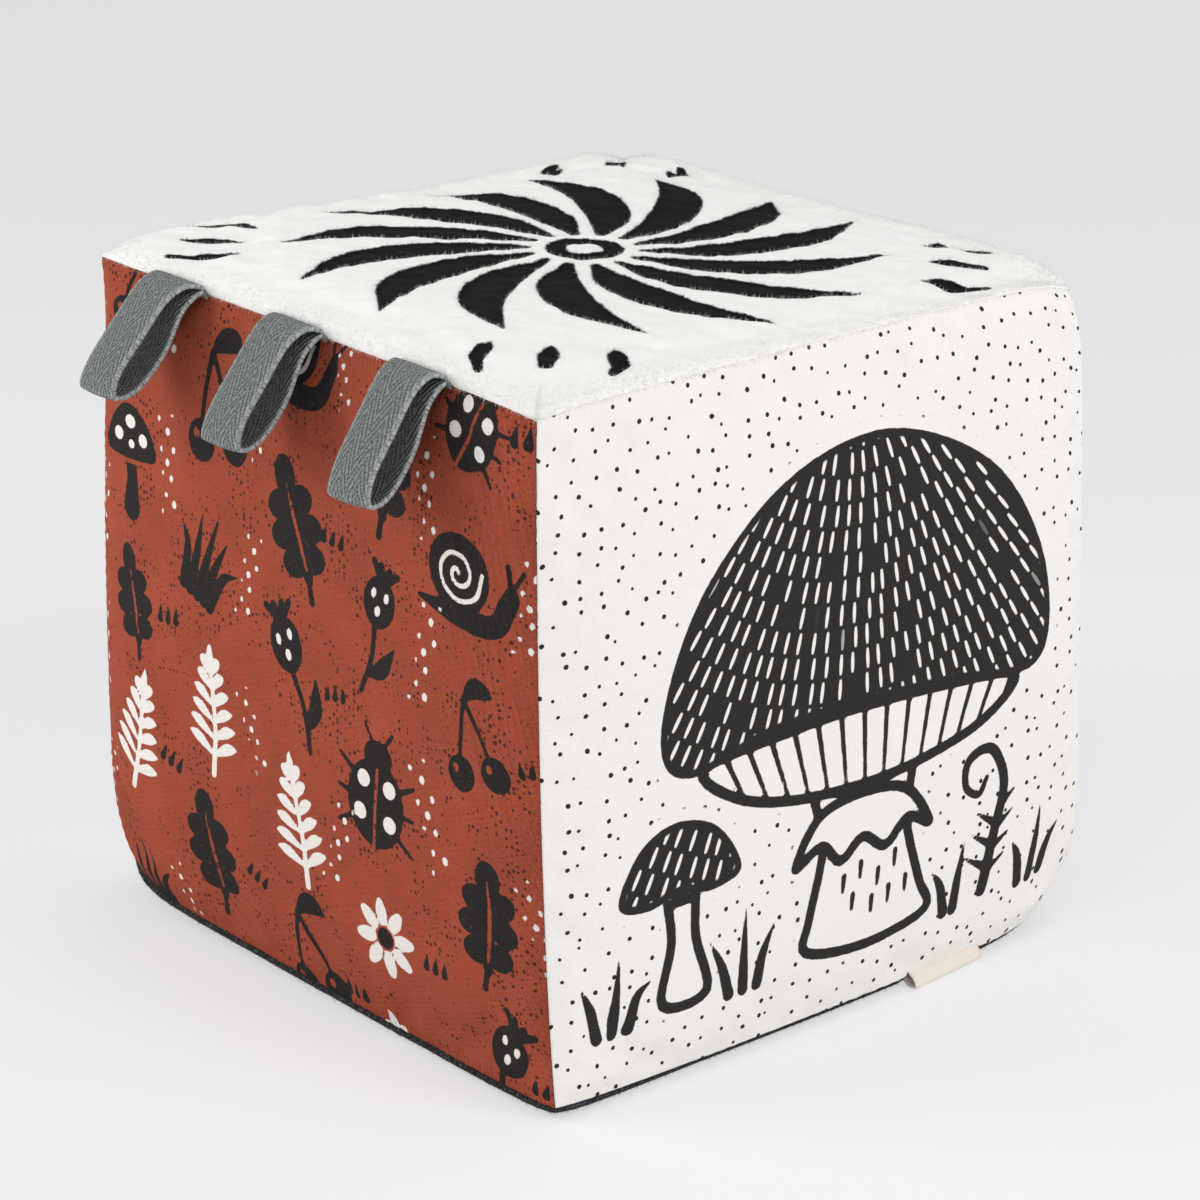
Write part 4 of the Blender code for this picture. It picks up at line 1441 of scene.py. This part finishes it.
def lay_tape(name, near, far, hinge, outwards, width, along, columns, arch):
    """A strip between two lines of (out, up) points, placed at its hinge."""
    rows = len(near) - 1
    piece = cloth_grid(name, columns, rows, 0)
    across, run, _ = read_points(piece.data).T
    step = np.rint((run + 1) / 2 * rows).astype(int)
    share = ((across + 1) / 2)[:, None]
    middle = (near + far) / 2
    lengths = np.linalg.norm(np.diff(middle, axis=0), axis=1)
    flat_line = np.concatenate(([0], np.cumsum(lengths)))
    slope = np.gradient(middle, axis=0)
    outer = np.stack((-slope[:, 1], slope[:, 0]), axis=1) / np.linalg.norm(slope, axis=1)[:, None]
    outer *= (arch * np.clip(np.sin(math.pi * flat_line / flat_line[-1]) * 3 - 0.6, 0, 1))[:, None]
    mixed = near[step] * (1 - share) + far[step] * share + outer[step] * (1 - across**2)[:, None]
    out_up = np.outer(mixed[:, 0], outwards) + np.outer(mixed[:, 1], (0, 0, 1))
    write_points(piece.data, np.array(hinge) + out_up + np.outer(across * width / 2, along))
    store_uv(piece.data, np.stack((across * width / 2, flat_line[step]), axis=1))
    return piece


def herringbone_tape(name):
    paint = Finish(name)
    x, y = paint.cloth_mm()
    place = paint.point(x, y)
    zigzag = x.math("PINGPONG", 3.9)
    waver = paint.noise(place, 0.6) * 0.9
    rib = (zigzag * 0.90 + y * 0.44 + waver).wave(1.25)
    ply = (y * 0.90 - zigzag * 0.44 + waver).wave(0.8)
    grain = paint.noise(place, 1.8, 3.0, 0.7)
    selvedge = abs(x).rise(6.6, 7.2)
    knots = paint.noise(place, 2.6, 1.0).rise(0.40, 0.60)
    shade = rib * 0.24 + ply * 0.14 + (grain - 0.5) * 2.2 + selvedge * (knots * 0.2 + 0.6) + 1.0
    height = rib * 0.7 + ply * 0.2 + grain * 0.6 + selvedge * knots * 0.3
    normal = paint.bump(height, 0.0007, 1.0)
    colour = paint.tint((0.266, 0.286, 0.279), shade)
    return paint.close(Base_Color=colour, Roughness=0.88, Specular_IOR_Level=0.2, Normal=normal)


tape_finish = herringbone_tape("grey_tape")
for number, (out, drop) in enumerate(zip(LOOP_REACHES, LOOP_DROPS), start=1):
    hinge = LOOP_HINGES[number - 1]
    near = tape_line(NEAR_EDGE_SHARES, out, drop)
    far = tape_line(FAR_EDGE_SHARES, out * FAR_REACH_SHARE, drop * FAR_DROP_SHARE)
    ribbon = lay_tape(
        f"ribbon_{number}", near, far, hinge, (-1, 0, 0), RIBBON_WIDTH, (0, 1, 0), TAPE_COLUMNS,
        RIBBON_ARCH,
    )
    finish_piece(ribbon, RIBBON, 0, tape_finish)
    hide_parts(f"ribbon_loop_{number}", f"ribbon_loop_tail_{number}")
    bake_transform(ribbon)
    print(ribbon.name, len(ribbon.data.polygons), "faces")

# %% [markdown]
# ## The label
# A short fold of cream tape, left blank, in the front seam at the foot. It droops to the floor,
# its left end sticks out further than its right, and it stays a little open.

# %% Label
LABEL = 0.0004
LABEL_IN_SEAM_MM = ((-4.4, 4.0), (-2.9, 2.5), (-1.8, 1.5))
LABEL_NEAR_MM = (
    (-0.7, 1.6), (0.5, 1.4), (1.7, 0.7), (2.5, -0.4), (2.6, -1.3), (1.7, -1.5), (0.2, -1.45),
    (-1.3, -0.4),
)
LABEL_FAR_MM = (
    (-1.1, 1.5), (-0.4, 1.1), (0.2, 0.4), (0.5, -0.5), (0.3, -1.25), (-0.3, -1.45), (-0.8, -0.9),
    (-1.3, 0.0),
)
LABEL_BACK_MM = ((-1.75, 0.9), (-2.9, 2.0), (-4.2, 3.3))
LABEL_STEPS, LABEL_COLUMNS = 6, 24


def label_line(middle_mm):
    points = np.array((*LABEL_IN_SEAM_MM, *middle_mm, *LABEL_BACK_MM)) / 1000
    return smooth_curve(points, LABEL_STEPS)


def cream_tape(name):
    paint = Finish(name)
    x, y = paint.cloth_mm()
    place = paint.point(x, y)
    weave = plain_weave(x, y, 0.3)
    shade = weave * 0.04 + (paint.noise(place, 0.8, 3.0) - 0.5) * 0.06 + 0.98
    normal = paint.bump(weave + paint.noise(place, 0.6) * 2, 0.0003, 0.6)
    colour = paint.tint((0.95, 0.865, 0.75), shade)
    return paint.close(Base_Color=colour, Roughness=0.85, Specular_IOR_Level=0.2, Normal=normal)


label_place = Vector((LABEL_MIDDLE, LABEL_HINGE.y, LABEL_HINGE.z))
label = lay_tape(
    "label", label_line(LABEL_NEAR_MM), label_line(LABEL_FAR_MM), label_place, (0, -1, 0),
    LABEL_WIDTH, (1, 0, 0), LABEL_COLUMNS, 0.0,
)
finish_piece(label, LABEL, 0, cream_tape("cream_tape"))
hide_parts("label_tab", "label_tab_tail")
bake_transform(label)
print(label.name, len(label.data.polygons), "faces")

# %% [markdown]
# ## What the cover hides
# The foam, the rattle, its beads and the film keep their frame solids and get real finishes
# too, because the block can be opened in other views.


# %% Inner finishes
def object_place(paint):
    return paint.node("TexCoord", output="Object")


def foam_finish(name):
    paint = Finish(name)
    place = object_place(paint)
    cells = paint.node("TexVoronoi", values={"Vector": place, "Scale": 900.0})
    blotch = paint.noise(place, 60.0, 3.0)
    colour = paint.mix(blotch, (0.80, 0.75, 0.58, 1), (0.88, 0.84, 0.70, 1))
    return paint.close(Base_Color=colour, Roughness=0.9, Normal=paint.bump(cells, 0.0004, 0.8))


def plastic_finish(name, colour, roughness):
    paint = Finish(name)
    blotch = paint.noise(object_place(paint), 220.0, 2.0)
    return paint.close(
        Base_Color=paint.tint(colour, blotch * 0.08 + 0.96), Roughness=blotch * 0.1 + roughness,
        Normal=paint.bump(blotch, 0.00005, 0.3),
    )


def thread_finish(name):
    paint = Finish(name)
    place = object_place(paint)
    ply = paint.node("TexWave", values={"Vector": place, "Scale": 420.0, "Distortion": 1.5})
    colour = paint.mix(ply, (0.70, 0.69, 0.65, 1), (0.86, 0.85, 0.81, 1))
    return paint.close(Base_Color=colour, Roughness=0.7, Normal=paint.bump(ply, 0.0001, 0.6))


INNER = {
    "foam": foam_finish("foam"),
    "film": plastic_finish("film", (0.70, 0.72, 0.74), 0.22),
    "thread": thread_finish("thread"),
    "rattle_plastic": plastic_finish("rattle_plastic", (0.62, 0.66, 0.70), 0.30),
    "bead_plastic": plastic_finish("bead_plastic", (0.55, 0.30, 0.08), 0.25),
}
slots = {entry["node"]: entry["material_slot"] for entry in frame["record"]["subparts"]}
for name, node in frame["nodes"].items():
    if slots[name] in INNER:
        node.data.materials.clear()
        node.data.materials.append(INNER[slots[name]])

# %% [markdown]
# ## Seam threads
# A line of thread holds each seam together, a little behind its fold. It is laid along the same
# formula as the cloth: a narrow strip, rolled round that line into a tube and closed at its ends.

# %% Threads
THREAD_RADIUS = 0.0003
THREAD_DEPTH = 0.0016
THREAD_END = 0.96
THREAD_STEPS, THREAD_SIDES = 60, 6

# For each thread, the panel that carries it and that panel's edge as (across, up)
THREADS = {
    "thread_front_left": ("front", -1, 0),
    "thread_front_right": ("front", 1, 0),
    "thread_back_right": ("back", -1, 0),
    "thread_back_left": ("back", 1, 0),
    "closing_thread_back_bottom": ("back", 0, -1),
}
for side in ("front", "right", "back", "left"):
    THREADS[f"thread_{side}_top"] = (side, 0, 1)
for side in ("front", "right", "left"):
    THREADS[f"thread_{side}_bottom"] = (side, 0, -1)


def seam_line(side, across, up):
    """Points behind one seam of a panel; the direction that is 0 runs along the seam."""
    run = np.linspace(-THREAD_END, THREAD_END, THREAD_STEPS + 1)
    across, up = (run if end == 0 else np.full_like(run, end) for end in (across, up))
    behind = np.full_like(run, THREAD_DEPTH)
    points = cover(FACES[side], across, up, *soften(side, across, up, -behind, behind))
    return points + tape_room(side, points)


def lay_thread(name, line):
    """A thin tube along a line, in place of the frame's thread of that name."""
    rows = len(line) - 1
    piece = cloth_grid(f"sewn_{name}", THREAD_SIDES, rows, 0)
    across, run, _ = read_points(piece.data).T
    step = np.rint((run + 1) / 2 * rows).astype(int)
    way = np.gradient(line, axis=0)
    way /= np.linalg.norm(way, axis=1)[:, None]
    first = np.cross(way, (0.30, 0.50, 0.81))
    first /= np.linalg.norm(first, axis=1)[:, None]
    second = np.cross(way, first)
    turn = math.pi * (across + 1)[:, None]
    around = first[step] * np.cos(turn) + second[step] * np.sin(turn)
    write_points(piece.data, line[step] + THREAD_RADIUS * around)
    bpy.ops.object.mode_set(mode="EDIT")
    bpy.ops.mesh.select_all(action="SELECT")
    bpy.ops.mesh.remove_doubles(threshold=0.00001)
    bpy.ops.mesh.fill_holes(sides=0)
    bpy.ops.mesh.normals_make_consistent(inside=False)
    bpy.ops.object.mode_set(mode="OBJECT")
    bpy.ops.object.shade_smooth()
    piece.data.materials.append(INNER["thread"])
    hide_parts(name)
    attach(piece, "block")


for name, place in THREADS.items():
    lay_thread(name, seam_line(*place))
print(len(THREADS), "seam threads")

# %% [markdown]
# ## Floor
# One wide sheet of pale paper fills the whole view. The camera sees it half lit and half as a
# painted glow, so the soft shadow under the block stays light and the paper stays pale far
# behind it. The glow is a painted pool of light: brightest in front of the dotted panel and
# dimmer further away.

# %% Paper floor
PAINTED_POOL_NEAR = (0.91, 0.91, 0.91, 1)
PAINTED_POOL_FAR = (0.790, 0.790, 0.800, 1)
PAPER_LIT = (0.88, 0.88, 0.88, 1)
PAINTED_POOL_MIDDLE = (0.02, -0.14)
GLOW_SHARE = 0.6


def paper(name):
    paint = Finish(name)
    place = object_place(paint)
    x, y = (paint.part(place, axis) - PAINTED_POOL_MIDDLE[axis] for axis in (0, 1))
    away = (x * x + y * y).math("SQRT")
    # painted light: the glow's colour is a painted pool of light, brighter near the block and dimmer away from it
    colour = paint.mix(away.rise(0.05, 0.42), PAINTED_POOL_NEAR, PAINTED_POOL_FAR)
    paint.close(Base_Color=PAPER_LIT, Roughness=0.95, Specular_IOR_Level=0.1)
    painted_pool_glow = paint.node("Emission", values={"Color": colour})
    seen = paint.node("LightPath", output="Is Camera Ray") * GLOW_SHARE
    lit = Signal(paint, paint.surface.outputs[0])
    both_ways = paint.node("MixShader", values={0: seen, 1: lit, 2: painted_pool_glow})
    paint.fill(paint.tree.nodes["Material Output"].inputs["Surface"], both_ways)
    return paint.material


select_nothing()
bpy.ops.mesh.primitive_grid_add(x_subdivisions=8, y_subdivisions=8, size=16)
floor = bpy.context.object
floor.name = "paper_floor"
floor.data.materials.append(paper("paper"))
